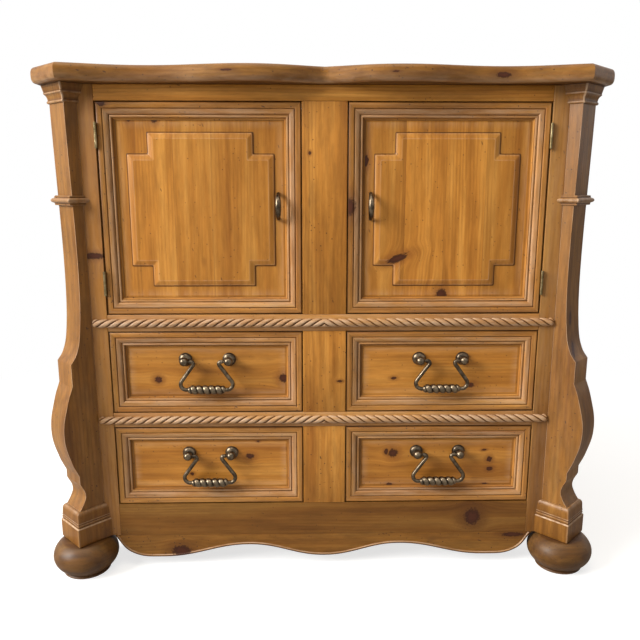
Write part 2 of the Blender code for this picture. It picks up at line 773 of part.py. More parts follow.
def make_door_panel(name, width, height, hinge, place):
    """Panel held in the frame's groove, with a raised field that has bitten corners."""
    edge = MOULD_WIDTH - PANEL_TONGUE
    back_y = PANEL_FACE_Y + PANEL_THICKNESS
    outline = inset_rectangle(width, height, edge)
    board = loft_mesh([upright_loop(outline, PANEL_FACE_Y), upright_loop(outline, back_y)])
    panel = add_part(name, board, "pine", hinge, place)
    field_width = width - 2 * (MOULD_WIDTH + FIELD_MARGIN_X)
    field_height = height - 2 * (MOULD_WIDTH + FIELD_MARGIN_Z)
    profile = [
        (0, -OVERLAP),
        (0, FIELD_RISE / 2),
        (FIELD_EDGE / 4, FIELD_RISE),
        (FIELD_EDGE * 2 / 3, FIELD_RISE),
        (FIELD_EDGE, FIELD_RISE - FIELD_QUIRK),
    ]
    loops = []
    for inset, rise in profile:
        outline = notched_outline(field_width, field_height, inset)
        loops.append(upright_loop(outline, PANEL_FACE_Y - rise))
    combine(panel, "UNION", add_tool(name + "_field", loft_mesh(loops), hinge, place))


def make_door_pull(name, hinge, place):
    """Upright bow, thickest in the middle."""
    half = PULL_HEIGHT / 2
    points = [(0, 0, half)]
    radii = [PULL_FOOT_RADIUS]
    for across, along in arc((0, 0), 1, 0, 180, 2 * ARC_STEPS):
        points.append((0, -PULL_FOOT_HEIGHT - (PULL_REACH - PULL_FOOT_HEIGHT) * along, half * across))
        radii.append(PULL_FOOT_RADIUS + (PULL_GRIP_RADIUS - PULL_FOOT_RADIUS) * along ** 2)
    points.append((0, 0, -half))
    radii.append(PULL_FOOT_RADIUS)
    add_part(name, rod_mesh(points, radii), "brass", hinge, place)


def hinge_leaf_mesh(knuckles):
    """Leaf in the YZ plane of the hinge, with a tab to each of its knuckles."""
    reach = -HINGE_Y
    clear_y = reach + GAP
    tab_y = (HINGE_BARREL_RADIUS + HINGE_PIN_RADIUS + GAP) / 2
    half = HINGE_HEIGHT / 2
    back_y = reach + HINGE_LEAF_DEPTH
    front = []
    for low, high in knuckles:
        front += [(clear_y, low + GAP), (tab_y, low + GAP), (tab_y, high - GAP), (clear_y, high - GAP)]
    outline = [(back_y, half), (back_y, -half), (clear_y, -half)] + front + [(clear_y, half)]
    return outline_mesh(outline, HINGE_LEAF)


def tube_mesh(radius, bore, low, high):
    rings = []
    for across, height in ((radius, low), (radius, high), (bore, high), (bore, low)):
        circle = arc((0, 0), across, 0, 360, SMALL_TURN_STEPS)[:-1]
        rings.append(level_loop(circle, height))
    return loft_mesh(rings, ring=True)


def cylinder_mesh(radius, low, high):
    circle = arc((0, 0), radius, 0, 360, SMALL_TURN_STEPS)[:-1]
    return loft_mesh([level_loop(circle, low), level_loop(circle, high)])


def make_hinge(name, side, root, door, level):
    """Butt hinge: the case leaf has the end knuckles, the door leaf the middle one and the pin."""
    half = HINGE_HEIGHT / 2
    sixth = HINGE_HEIGHT / 6
    bore = HINGE_PIN_RADIUS + GAP
    leaf_x = side * (HINGE_SEAM / 2 - GAP - HINGE_LEAF / 2)
    axis = Vector((side * HINGE_X, HINGE_Y, level))
    ends = ((-half, -sixth - GAP / 2), (sixth + GAP / 2, half))
    place = axis + Vector((leaf_x, 0, 0))
    fixed = add_part(name + "_case_leaf", hinge_leaf_mesh(ends), "brass", root, place, LIE_ACROSS)
    for index, (low, high) in enumerate(ends):
        mesh = tube_mesh(HINGE_BARREL_RADIUS, bore, low, high)
        combine(fixed, "UNION", add_tool(name + "_end_knuckle_" + str(index), mesh, root, axis))

    middle = ((GAP / 2 - sixth, sixth - GAP / 2),)
    local = axis - Vector((side * HINGE_X, HINGE_Y, DOOR_Z))
    place = local - Vector((leaf_x, 0, 0))
    moving = add_part(name + "_door_leaf", hinge_leaf_mesh(middle), "brass", door, place, LIE_ACROSS)
    knuckle = cylinder_mesh(HINGE_BARREL_RADIUS, *middle[0])
    combine(moving, "UNION", add_tool(name + "_middle_knuckle", knuckle, door, local))
    pin = cylinder_mesh(HINGE_PIN_RADIUS, -half, half)
    combine(moving, "UNION", add_tool(name + "_pin", pin, door, local))


def make_door(name, side, root):
    """A door drawn from its hinge line, at the foot of its opening."""
    door = make_empty(name + "_door", root, (side * HINGE_X, HINGE_Y, DOOR_Z))
    low_x = INNER_X + REVEAL
    high_x = OUTER_X - HINGE_SEAM
    width = high_x - low_x
    height = DOOR_HEIGHT - 2 * REVEAL
    middle = Vector((side * ((low_x + high_x) / 2 - HINGE_X), -HINGE_Y, DOOR_HEIGHT / 2))
    make_door_frame(name + "_door_frame", width, height, door, middle)
    make_door_panel(name + "_door_panel", width, height, door, middle)
    pull_x = side * (low_x + PULL_INSET - HINGE_X)
    pull_y = PANEL_FACE_Y - GAP - HINGE_Y
    make_door_pull(name + "_door_pull", door, (pull_x, pull_y, PULL_RISE))
    make_hinge(name + "_lower_hinge", side, root, door, DOOR_Z + HINGE_INSET)
    make_hinge(name + "_upper_hinge", side, root, door, DOOR_Z + DOOR_HEIGHT - HINGE_INSET)


def make_drawer_front(name, width, height, drawer):
    """Board with the moulding round a sunk panel."""
    back = inset_rectangle(width, height, 0)
    loops = [upright_loop(back, FRAME_THICKNESS)]
    for inset, depth in moulding_profile():
        loops.append(upright_loop(inset_rectangle(width, height, inset), depth))
    add_part(name, loft_mesh(loops), "pine", drawer)


def make_drawer_box(name, level, drawer, centre_z):
    """Open tray behind the front, running on the board below it."""
    half_width = OPENING_WIDTH / 2 - DRAWER_SIDE_FIT
    front_y = FRAME_THICKNESS + GAP
    back_y = INSIDE_BACK_Y - DRAWER_REAR_ROOM
    low_z = level + GAP - centre_z
    high_z = level + DRAWER_HEIGHT - DRAWER_HEADROOM - centre_z
    outer = rectangle(-half_width, half_width, front_y, back_y)
    inner_x = half_width - DRAWER_WALL
    inner = rectangle(-inner_x, inner_x, front_y + DRAWER_WALL, back_y - DRAWER_WALL)
    loops = [
        level_loop(outer, low_z),
        level_loop(outer, high_z),
        level_loop(inner, high_z),
        level_loop(inner, low_z + DRAWER_FLOOR),
    ]
    add_part(name, loft_mesh(loops), "inner_pine", drawer)


def filleted(points, radii, steps=ARC_STEPS):
    """A path in the XZ plane with each inner corner rounded by its radius."""
    path = [Vector(points[0])]
    for before, corner, after, radius in zip(points, points[1:], points[2:], radii):
        corner = Vector(corner)
        inward = (Vector(before) - corner).normalized()
        outward = (Vector(after) - corner).normalized()
        half = inward.angle(outward) / 2
        centre = corner + (inward + outward).normalized() * radius / math.sin(half)
        start = (corner + inward * radius / math.tan(half) - centre).normalized()
        end = (corner + outward * radius / math.tan(half) - centre).normalized()
        for step in range(steps + 1):
            path.append(centre + radius * start.slerp(end, step / steps))
    path.append(Vector(points[-1]))
    return path


def bail_path():
    """Half of a bail, from its pin in the ball to the start of its grip, with the radii."""
    pin_x = -BAIL_CENTRES / 2
    shoulder_x = pin_x + BALL_RADIUS + BAIL_PIN_RADIUS
    corners = [
        (shoulder_x, 0, 0),
        (-BAIL_EYE_GAP / 2, 0, 0),
        (-BAIL_WIDTH / 2, 0, -BAIL_DROP),
        (-GRIP_LENGTH / 2, 0, -BAIL_DROP),
    ]
    path = filleted(corners, (BAIL_EYE_RADIUS, BAIL_BEND_RADIUS))
    radii = [BAIL_ROD_RADIUS] * len(path)
    pin = [Vector((pin_x, 0, 0)), Vector((shoulder_x - GAP, 0, 0))]
    return pin + path, [BAIL_PIN_RADIUS] * 2 + radii


def grip_path():
    """The row of beads along the grip, with a groove between each two."""
    points = []
    radii = []
    pitch = GRIP_LENGTH / GRIP_BEADS
    for bead in range(GRIP_BEADS):
        start = -GRIP_LENGTH / 2 + bead * pitch
        waist = GRIP_GROOVE_SHARE / 2
        crown = waist + GRIP_SHOULDER_SHARE
        for share in (waist, crown, 1 - crown, 1 - waist):
            points.append(Vector((start + share * pitch, 0, -BAIL_DROP)))
        radii += [GRIP_WAIST, GRIP_RADIUS, GRIP_RADIUS, GRIP_WAIST]
    return points, radii


def make_bail(name, drawer, pivot):
    half, half_radii = bail_path()
    grip, grip_radii = grip_path()
    other = [Vector((-point.x, point.y, point.z)) for point in reversed(half)]
    mesh = rod_mesh(half + grip + other, half_radii + grip_radii + half_radii[::-1])
    add_part(name, mesh, "brass", drawer, pivot)


def make_bail_post(name, side, drawer, pivot, stand):
    """Rosette, neck and ball turned in one, with a blind bore for the bail's pin."""
    neck_z = stand - math.sqrt(BALL_RADIUS ** 2 - STALK_RADIUS ** 2)
    ball_end = -math.degrees(math.acos(STALK_RADIUS / BALL_RADIUS))
    dome_start = math.degrees(math.acos(STALK_RADIUS / ROSETTE_RADIUS))
    profile = [(0, stand + BALL_RADIUS)]
    profile += arc((0, stand), BALL_RADIUS, 90, ball_end)[1:]
    profile += [(STALK_RADIUS, (neck_z + ROSETTE_HEIGHT) / 2)]
    dome = arc((0, 0), 1, dome_start, 0, ARC_STEPS)[:-1]
    profile += [(ROSETTE_RADIUS * radius, GAP + ROSETTE_HEIGHT * height) for radius, height in dome]
    profile += [(ROSETTE_RADIUS, GAP), (0, GAP)]
    place = pivot + Vector((side * BAIL_CENTRES / 2, stand, 0))
    post = add_part(name, profile_mesh(profile), "brass", drawer, place, LIE_UP)
    turn_profile(post, SMALL_TURN_STEPS)
    bore = cylinder_mesh(BAIL_PIN_RADIUS + GAP, -2 * GAP, 2 * BALL_RADIUS)
    aim = (0, -side * math.pi / 2, 0)
    tool = add_tool(name + "_bore", bore, drawer, pivot + Vector((side * BAIL_CENTRES / 2, 0, 0)), aim)
    combine(post, "DIFFERENCE", tool)


def make_drawer(row, column, root):
    name = row + "_" + column
    level = ROW_LEVELS[row]
    centre_x = SIDES[column] * (INNER_X + OUTER_X) / 2
    centre_z = level + DRAWER_HEIGHT / 2
    drawer = make_empty(name + "_drawer", root, (centre_x, 0, centre_z))
    width = OPENING_WIDTH - 2 * REVEAL
    height = DRAWER_HEIGHT - 2 * REVEAL
    make_drawer_front(name + "_drawer_front", width, height, drawer)
    make_drawer_box(name + "_drawer_box", level, drawer, centre_z)
    pivot = Vector((0, MOULD_SINK - BALL_STAND, DRAWER_HEIGHT / 2 - BAIL_PIVOT_DROP))
    make_bail(name + "_bail", drawer, pivot)
    for end, side in SIDES.items():
        make_bail_post(name + "_bail_" + end + "_post", side, drawer, pivot, BALL_STAND)


def make_cabinet():
    middle_y = (FRONT_Y + CASE_DEPTH) / 2
    root = make_empty("bar_cabinet_root", None, (0, -middle_y, 0))
    make_top(root)
    make_boards(root)
    make_partition(root)
    make_back(root)
    make_top_rail(root)
    make_rail("upper_rail", UPPER_RAIL_Z, UPPER_RAIL_HEIGHT, root)
    make_rail("lower_rail", LOWER_RAIL_Z, LOWER_RAIL_HEIGHT, root)
    make_centre_stile(root)
    make_apron(root)
    make_rope("upper_rope", UPPER_RAIL_Z + UPPER_RAIL_HEIGHT / 2, root)
    make_rope("lower_rope", LOWER_RAIL_Z + LOWER_RAIL_HEIGHT / 2, root)
    for name, side in SIDES.items():
        make_side_panel(name + "_side_panel", side, root)
        make_stile(name + "_stile", side, root)
        make_corner(name, side, root)
        make_rear_foot(name + "_rear_foot", side, root)
        make_door(name, side, root)
    for row in ROW_LEVELS:
        for column in SIDES:
            make_drawer(row, column, root)


clear_scene()
PARTS = make_collection("bar_cabinet")
TOOLS = make_collection("cutters")
make_cabinet()
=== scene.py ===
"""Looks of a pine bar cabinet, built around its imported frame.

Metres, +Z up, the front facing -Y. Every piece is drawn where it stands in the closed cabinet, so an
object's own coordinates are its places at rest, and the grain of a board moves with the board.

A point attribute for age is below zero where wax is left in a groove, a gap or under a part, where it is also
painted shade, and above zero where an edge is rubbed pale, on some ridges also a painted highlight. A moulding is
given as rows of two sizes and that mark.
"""
import json
import math

import bmesh
import bpy
from mathutils import Matrix, Vector


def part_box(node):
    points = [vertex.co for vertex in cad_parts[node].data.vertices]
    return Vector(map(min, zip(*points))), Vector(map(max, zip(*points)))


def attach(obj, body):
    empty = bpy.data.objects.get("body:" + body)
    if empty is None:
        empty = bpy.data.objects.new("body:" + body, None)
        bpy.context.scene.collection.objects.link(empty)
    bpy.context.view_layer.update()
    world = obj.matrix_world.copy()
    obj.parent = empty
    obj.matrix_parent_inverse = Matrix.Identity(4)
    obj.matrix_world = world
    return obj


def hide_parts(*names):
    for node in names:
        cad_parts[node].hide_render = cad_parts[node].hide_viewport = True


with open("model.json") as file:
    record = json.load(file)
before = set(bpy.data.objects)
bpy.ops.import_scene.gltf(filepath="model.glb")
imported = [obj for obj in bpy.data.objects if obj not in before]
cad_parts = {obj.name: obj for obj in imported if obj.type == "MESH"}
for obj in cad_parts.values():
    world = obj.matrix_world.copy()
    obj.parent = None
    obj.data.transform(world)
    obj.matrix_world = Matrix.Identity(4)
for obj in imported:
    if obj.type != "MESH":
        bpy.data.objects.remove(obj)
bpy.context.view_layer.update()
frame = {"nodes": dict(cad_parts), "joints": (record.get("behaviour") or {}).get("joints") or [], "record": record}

# Meshes, their edges and clearances
WELD = 0.00001
FLAT_ANGLE = 0.001
SHARP_ANGLE = math.radians(38)
EASED_EDGE = 0.0011
FINE_EDGE = 0.0003
BOX_EDGE = 0.7 * EASED_EDGE
SMOOTH = "smooth"
CURVE_STEPS = 14
CORNER_STEPS = 3
MITRE_LIMIT = 0.5
OVERLAP = 0.001
GAP = 0.0003
DIAGONAL = math.sqrt(0.5)

# Top board, with a nose that is a flattened half round
TOP_CANT = 0.068
TOP_CORNER_REACH = 0.063
TOP_RECESS_REACH = 0.029
TOP_LOBE_REACH = 0.054
TOP_CUSP_REACH = 0.017
TOP_RECESS_X = 0.360
TOP_LOBE_X = 0.130
TOP_NOSE = 0.0105
TOP_NOSE_FLATNESS = 0.75
TOP_NOSE_AGE = 0.05
TOP_NOSE_FADE = 0.35

# Apron
APRON_LOW = 0.022
APRON_HIGH = 0.050
APRON_SIDE_LOW_X = 0.360
APRON_HIGH_X = 0.165
APRON_END_TURN = 0.0345
APRON_END_RISE = 0.012
APRON_EDGE = EASED_EDGE / 2
APRON_BEAD = 0.0030
APRON_BEAD_SIDES = 14
APRON_BEAD_CREST = 0.15
# The apron bead's upper side is a painted highlight and its lower side a painted shadow.
APRON_BEAD_PAINTED_HIGHLIGHT = 0.7
APRON_BEAD_PAINTED_SHADOW = -0.9

# Corner posts, as the distance out of the canted corner and the height above the plinth
POST_WIDTH = 0.0605
POST_SHAFT = 0.0275
POST_FLARE = 0.0575
POST_NECK = 0.0418
POST_STEP = 0.0526
POST_BELLY = 0.0786
POST_NECK_RISE = 0.031
POST_STEP_RISE = 0.0615
POST_STEP_HEIGHT = 0.017
POST_BELLY_RISE = 0.175
POST_NOTCH_RISE = 0.279
POST_SHOULDER_HEIGHT = 0.0465
POST_SHAFT_RISE = 0.395
POST_EDGE = 1.4 * EASED_EDGE
POST_EDGE_STEPS = 3

# Collars and plinths of the posts, with levels from below as rise, spread and age; levels below zero are wax and
# painted shade in the grooves
COLLAR_BACK = 0.003
ARRIS_ROUND = 0.0016
ARRIS_FADE = 0.0030
ARRIS_WEAR = 0.75
CAPITAL_HEIGHT = 0.036
CAPITAL_LEVELS = (
    (-0.0005, -OVERLAP, -0.6),
    (0.0002, 0.0022, -0.3),
    (0.0015, 0.0034, 0.3),
    (0.0032, 0.0038, 0.4),
    (0.0048, 0.0034, 0.3),
    (0.0060, 0.0022, -0.7),
    (0.0072, 0.0022, -0.4),
    (0.0110, 0.0027, 0.0),
    (0.0150, 0.0043, 0.0),
    (0.0180, 0.0065, 0.0),
    (0.0185, 0.0076, 0.4),
    (0.0212, 0.0078, 0.3),
    (0.0216, 0.0072, -0.8),
    (0.0222, 0.0074, -0.5),
    (0.0290, 0.0090, 0.0),
    (CAPITAL_HEIGHT - GAP, 0.0105, -0.2),
)
RING_DROP = 0.2235
RING_HEIGHT = 0.020
RING_FILLET = 0.0032
RING_BEAD_HALF = 0.0048
RING_BEAD_REACH = 0.0058
RING_EDGE_LEVELS = (
    (0.0, -OVERLAP, -0.5),
    (0.0004, RING_FILLET - 0.0008, 0.0),
    (0.0014, RING_FILLET, 0.3),
    (0.0042, RING_FILLET, -0.9),
)
PLINTH_DEPTH = 0.069
PLINTH_SPREAD = 0.0095
PLINTH_ARRIS_WEAR = 0.25
PLINTH_TOP_SPREAD = -0.0078
PLINTH_LEVELS = (
    (0.0, -0.0016, -0.4),
    (0.0014, -0.0004, 0.0),
    (0.0030, 0.0, 0.0),
    (0.0400, 0.0, 0.0),
    (0.0412, -0.0001, 0.9),
    (0.0424, -0.0006, 1.0),
    (0.0434, -0.0016, 1.0),
    (0.0439, -0.0030, -0.9),
    (0.0450, -0.0030, -0.6),
    (0.0458, -0.0020, 0.0),
    (0.0478, -0.0017, 0.1),
    (0.0498, -0.0020, 0.6),
    (0.0506, -0.0030, -0.9),
    (0.0516, -0.0030, -0.6),
    (0.0524, -0.0021, 0.1),
    (0.0545, -0.0020, 0.7),
    (0.0552, -0.0026, -0.6),
    (0.0562, -0.0026, -0.2),
    (0.0690, -0.0034, 0.0),
    (0.0730, -0.0042, 0.2),
    (0.0762, -0.0058, 0.5),
)

# Feet
FOOT_NECK_RADIUS = 0.047
FOOT_RADIUS = 0.0695
FOOT_PAD_RADIUS = 0.050
FOOT_PAD_HEIGHT = 0.006
FOOT_PAD_EDGE = 0.0012
FOOT_PAD_LIP = 0.0025
FOOT_TURNS = 72
REAR_FOOT_EDGE = 0.002

# Rope mouldings
ROPE_PITCH = 0.0204
ROPE_LEAN = 0.033
ROPE_GROOVE = 0.46
ROPE_STEPS = 16
ROPE_SIDES = 20
ROPE_RIB = 0.07
ROPE_RIB_WIDTH = 0.26
ROPE_RIB_PLACE = 0.12
ROPE_END = 0.04
# Darkening of the rope's grooves and rib, which is wax and painted shade
ROPE_GROOVE_WAX_AND_SHADE = 3.0
ROPE_GROOVE_POWER = 1.2
ROPE_RIB_WAX_AND_SHADE = 1.2
# Darkening along the rope's base on the rail, a painted shadow
ROPE_BASE_PAINTED_SHADOW = 0.8

# Moulding of doors and drawers, from its outer edge in, as inset, depth behind the face and age; rows below zero
# are wax and painted shade
MOULD_WIDTH = 0.0345
MOULD_SINK = 0.0105
MOULD_EDGE = (
    # The first two rows, on the edge in the gap round a door or drawer, are painted shade in the gap.
    (0.0, 0.0030, -0.95),
    (0.0008, 0.0014, -0.9),
    (0.0018, 0.0004, -0.3),
    (0.0032, 0.0, 0.15),
    (0.0092, 0.0, 0.0),
    (0.0108, 0.0003, 0.2),
    (0.0118, 0.0011, -0.1),
    (0.0124, 0.0022, -0.75),
    (0.0132, 0.0022, -0.7),
    (0.0139, 0.0010, 0.3),
)
OVOLO_CENTRE = (0.0120, 0.0068)
OVOLO_SIZE = (0.0122, 0.0063)
MOULD_QUIRK = ((0.0243, 0.0070, -0.6), (0.0249, 0.0070, -0.5))
BEAD_CENTRE = (0.0273, 0.0070)
BEAD_RADIUS = 0.0024
MOULD_FILLET = ((0.0298, 0.0071, -0.55), (0.0306, 0.0072, -0.2))
COVE_CENTRE = (0.0343, 0.0070)
COVE_RADIUS = 0.0036
# Slots of a frame's left side, bottom, right side and top; the left side takes the painted shade copy, the right
# side the painted light copy.
SIDE_SLOTS = (1, 0, 2, 0)
PANEL_SLOT = 3

# Door and drawer panels, and the raised field with rows of inset, rise and age; the dark rows at the field's foot
# are wax and painted shade, and its pale rows are rubbed wear and a painted highlight
PANEL_THICKNESS = 0.0075
PANEL_TONGUE = 0.0055
PANEL_FACE = MOULD_SINK + OVERLAP + GAP
PANEL_LINE = 0.0016
PANEL_RUB = 0.0040
PANEL_SHADE = 0.018
DOOR_PANEL_WEAR = 0.20
DRAWER_PANEL_WEAR = 0.24
FIELD_MARGIN_X = 0.020
FIELD_MARGIN_Z = 0.0235
FIELD_NOTCH = 0.042
FIELD_ROUND = 0.0028
FIELD_ROWS = (
    (-0.0016, -OVERLAP / 2, -0.6),
    (-0.0016, 0.0001, -0.6),
    (-0.0003, 0.0002, -0.9),
    (0.0004, 0.0010, -0.8),
    (0.0009, 0.0018, -0.3),
    (0.0018, 0.0024, 0.45),
    (0.0030, 0.0029, 0.05),
    (0.0070, 0.0044, 0.0),
    (0.0108, 0.0058, 0.05),
    (0.0120, 0.0060, 0.30),
    (0.0134, 0.0060, 0.0),
    (0.0160, 0.0060, 0.0),
)

# Hardware
ROD_SIDES = 28
ROD_STEP = 0.0009
BEND_STEPS = 4
BAIL_CENTRES = 0.093
BAIL_EYE_GAP = 0.044
BAIL_WIDTH = 0.133
BAIL_DROP = 0.0615
BAIL_ROD_RADIUS = 0.0042
BAIL_PIN_RADIUS = 0.0024
BAIL_EYE_RADIUS = 0.0050
BAIL_BEND_RADIUS = 0.012
BAIL_SHOULDER = (0.0016, 0.0004)
BAIL_SHOULDER_SHARE = 0.9
BAIL_AGE = 0.1
GRIP_LENGTH = 0.080
GRIP_BEADS = 6
GRIP_RADIUS = 0.0100
GRIP_WAIST = 0.0064
GRIP_END = 0.6
GRIP_END_POWER = 0.6
GRIP_CREST_AGE = 0.9
GRIP_GROOVE_AGE = -0.95
BALL_RADIUS = 0.0095
BALL_STAND = 0.021
STALK_RADIUS = 0.005
STALK_FLARE = 0.0006
ROSETTE_RADIUS = 0.0145
ROSETTE_HEIGHT = 0.009
ROSETTE_RIM = 0.0022
ROSETTE_LIP = 0.0012
ROSETTE_EDGE_DROPS = (0.0004, 0.0011)
DOME_INSET = 0.0002
POST_TURNS = 40
PULL_FOOT_RADIUS = 0.0035
PULL_GRIP_RADIUS = 0.0062
PULL_REACH = 0.024
PULL_FOOT_HEIGHT = 0.003
PULL_FOOT_AGE = -0.35
PULL_GRIP_WEAR = 0.5

# Camera, as the photograph was taken
CAMERA_X = -0.0334
CAMERA_DISTANCE = 1.377
CAMERA_HEIGHT = 0.848
CAMERA_PITCH = math.radians(11.63)
CAMERA_YAW = math.radians(0.996)
CAMERA_LENS = 37.69
SENSOR_WIDTH = 36.0

# Colours, as linear red, green and blue; woods run from dark to light
PINE_COLOURS = ((0.300, 0.106, 0.014), (0.460, 0.186, 0.029), (0.595, 0.276, 0.056))
BARE_COLOURS = ((0.420, 0.240, 0.095), (0.560, 0.360, 0.170), (0.660, 0.470, 0.255))
# The rubbed colour also paints highlights on some ridges, and the wax colour also paints shade in grooves and
# gaps.
PINE_WORN_AND_PAINTED_HIGHLIGHT = (0.620, 0.420, 0.270)
PINE_WAX_AND_PAINTED_SHADE = (0.070, 0.027, 0.010)
KNOT_HEART = (0.036, 0.009, 0.003)
KNOT_CORE = (0.082, 0.021, 0.008)
KNOT_HALO = (0.225, 0.074, 0.013)
BRONZE_BRIGHT = (0.190, 0.144, 0.094)
BRONZE_DULL = (0.050, 0.037, 0.026)
BRASS_BRIGHT = (0.400, 0.315, 0.170)
BRASS_DULL = (0.190, 0.140, 0.062)
METAL_DARK = (0.010, 0.007, 0.005)
KEY_COLOUR = (0.985, 0.985, 0.97)
SKY_COLOUR = (1.0, 0.95, 0.84)
FILL_COLOUR = (1.0, 0.97, 0.94)
AMBIENT_COLOUR = (1.0, 0.89, 0.70)
FLOOR_COLOUR = (0.45, 0.45, 0.45)
WHITE = (1.0, 1.0, 1.0)

# Noises, as scale along the grain, scale across it, detail and roughness
STREAK_NOISE = (1.9, 38.0, 5.0, 0.64)
DRIFT_NOISE = (2.2, 11.0, 2.0, 0.5)
FADE_NOISE = (3.0, 16.0, 1.0, 0.5)
FIBRE_NOISE = (26.0, 900.0, 2.0, 0.6)
MOTTLE_NOISE = (16.0, 75.0, 4.0, 0.65)
CROWD_NOISE = (9.0, 17.0, 1.0, 0.5)
SMUDGE_NOISE = (9.0, 26.0, 3.0, 0.6)
PATCH_NOISE = (15.0, 90.0, 3.0, 0.6)
SHEEN_NOISE = (14.0, 40.0, 2.0, 0.5)
DENT_NOISE = (30.0, 60.0, 2.0, 0.5)
KNOT_NOISE = (240.0, 240.0, 2.0, 0.5)
CLOUD_NOISE = (90.0, 90.0, 3.0, 0.6)
SPOT_NOISE = (420.0, 420.0, 2.0, 0.5)

# Masks eased from a noise or a distance, as its two ends and the mask's values there
FADE_EASE = (0.35, 0.70, 0.0, 1.0)
FIBRE_EASE = (0.52, 0.75, 0.0, 0.22)
MOTTLE_EASE = (0.34, 0.66)
CROWD_EASE = (0.38, 0.54, 0.0, 1.0)
SMUDGE_EASE = (0.60, 0.80, 0.0, 0.30)
RUB_AND_HIGHLIGHT_EASE = (0.30, 0.70, 0.30, 1.0)
WAX_AND_SHADE_EASE = (0.1, 0.6, 0.7, 1.0)
BOARD_SHADE_EASE = (0.0, 1.0, 0.86, 1.08)
BOARD_JOINT_EASE = (0.0003, 0.0011, 0.20, 0.0)
KNOT_EASES = {
    "Heart": (0.66, 1.08, 1.0, 0.0),
    "Core": (0.20, 0.75, 1.0, 0.0),
    "Halo": (0.9, 2.5, 1.0, 0.0),
}
CLOUD_EASE = (0.35, 0.75, 0.0, 1.0)
SPOT_EASE = (0.58, 0.72, 0.0, 0.5)
FLOOR_EASE = (0.8, 1.9, 0.0, 1.0)

# Strengths of the wood's and the metal's marks
STREAK_STOPS = (0.30, 0.50, 0.72)
RING_PITCH = 860.0
RING_DRIFT = 20.0
RING_SHARPNESS = 2.5
RING_TONE = 0.72
RING_DEPTH = 0.34
MOTTLE_DARK = 0.11
MOTTLE_LIGHT = 0.07
BOARD_SHIFT = 3.0
KNOT_RAGGED = 0.9
KNOT_BEND = 0.75
KNOT_BEND_FALL = 0.22
HALO_DEPTH = 0.62
HEART_DEPTH = 0.95
CORE_DEPTH = 0.60
FLECK_DEPTH = 0.62
RUBBED_AND_HIGHLIGHT_TONE = 0.80
FIBRE_RELIEF = 0.5
RING_RELIEF = 0.35
DIRT_RELIEF = -1.2
DENT_RELIEF = 0.8
PINE_BUMP = {"Strength": 0.35, "Distance": 0.0007}
PINE_SPECULAR = 0.25
PINE_ROUGHNESS = 0.30
PINE_ROUGHNESS_SPREAD = 0.22
METAL_HANDLED = 0.8
METAL_ROUGHNESS = 0.20
METAL_ROUGHNESS_SPREAD = 0.25
METAL_BUMP = {"Strength": 0.25, "Distance": 0.0006}

# Small dark marks, as stretch along the grain, lean, scale, size and the share of places that have one
SPECKS = (1.0, 0.0, 92.0, 0.165, 0.60)
NICKS = (0.35, 0.30, 58.0, 0.100, 0.45)

# Studio
AMBIENT_STRENGTH = 0.20
FLOOR_LIFT = 0.72
FLOOR_SIZE = 40.0

BODY_OF = {}
for body_name, members in frame["record"]["behaviour"]["bodies"].items():
    for member in members:
        BODY_OF[member] = body_name

FACE_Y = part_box("centre_stile")[0].y
CORNER_SIDES = {"left": -1, "right": 1}


class Graph:
    """Short calls that add and join the nodes of one tree."""

    def __init__(self, tree):
        self.tree = tree

    def put(self, socket, value):
        if isinstance(value, bpy.types.NodeSocket):
            self.tree.links.new(value, socket)
        elif isinstance(value, tuple) and socket.type == "RGBA":
            socket.default_value = (*value, 1)
        else:
            socket.default_value = value

    def add(self, kind, values=None, **settings):
        node = self.tree.nodes.new(kind)
        for key, value in settings.items():
            setattr(node, key, value)
        for key, value in (values or {}).items():
            self.put(node.inputs[key], value)
        return node

    def math(self, operation, *values, clamp=False):
        settings = {"operation": operation, "use_clamp": clamp}
        return self.add("ShaderNodeMath", dict(enumerate(values)), **settings).outputs[0]

    def plus(self, first, second, clamp=False):
        return self.math("ADD", first, second, clamp=clamp)

    def minus(self, first, second):
        return self.math("SUBTRACT", first, second)

    def times(self, first, second, clamp=False):
        return self.math("MULTIPLY", first, second, clamp=clamp)

    def most(self, first, second):
        return self.math("MAXIMUM", first, second)

    def place(self):
        """The three coordinates of a spot on the object at rest."""
        spot = self.add("ShaderNodeTexCoord").outputs["Object"]
        return self.add("ShaderNodeSeparateXYZ", {0: spot}).outputs

    def age_and_painted_light(self):
        return self.add("ShaderNodeAttribute", attribute_name="age_and_painted_light").outputs["Fac"]

    def vector(self, x, y, z):
        return self.add("ShaderNodeCombineXYZ", {0: x, 1: y, 2: z}).outputs[0]

    def noise(self, place, kind):
        """Noise at a place given along the grain, across it and in depth."""
        along, across, detail, roughness = kind
        scaled = [self.times(value, scale) for value, scale in zip(place, (along, across, across))]
        values = {"Vector": self.vector(*scaled), "Scale": 1.0, "Detail": detail, "Roughness": roughness}
        return self.add("ShaderNodeTexNoise", values).outputs["Fac"]

    def mix(self, factor, first, second, blend="MIX"):
        values = {0: factor, 6: first, 7: second}
        settings = {"data_type": "RGBA", "blend_type": blend, "clamp_factor": True}
        return self.add("ShaderNodeMix", values, **settings).outputs[2]

    def ease(self, value, low, high, start, end):
        values = {"Value": value, "From Min": low, "From Max": high, "To Min": start, "To Max": end}
        return self.add("ShaderNodeMapRange", values, interpolation_type="SMOOTHSTEP").outputs[0]

    def bump(self, height, settings):
        return self.add("ShaderNodeBump", {"Height": height, **settings}).outputs[0]

    def emission(self, strength):
        """White light of a strength."""
        return self.add("ShaderNodeEmission", {"Color": WHITE, "Strength": strength}).outputs[0]

    def mix_shader(self, factor, first, second):
        return self.add("ShaderNodeMixShader", {0: factor, 1: first, 2: second}).outputs[0]


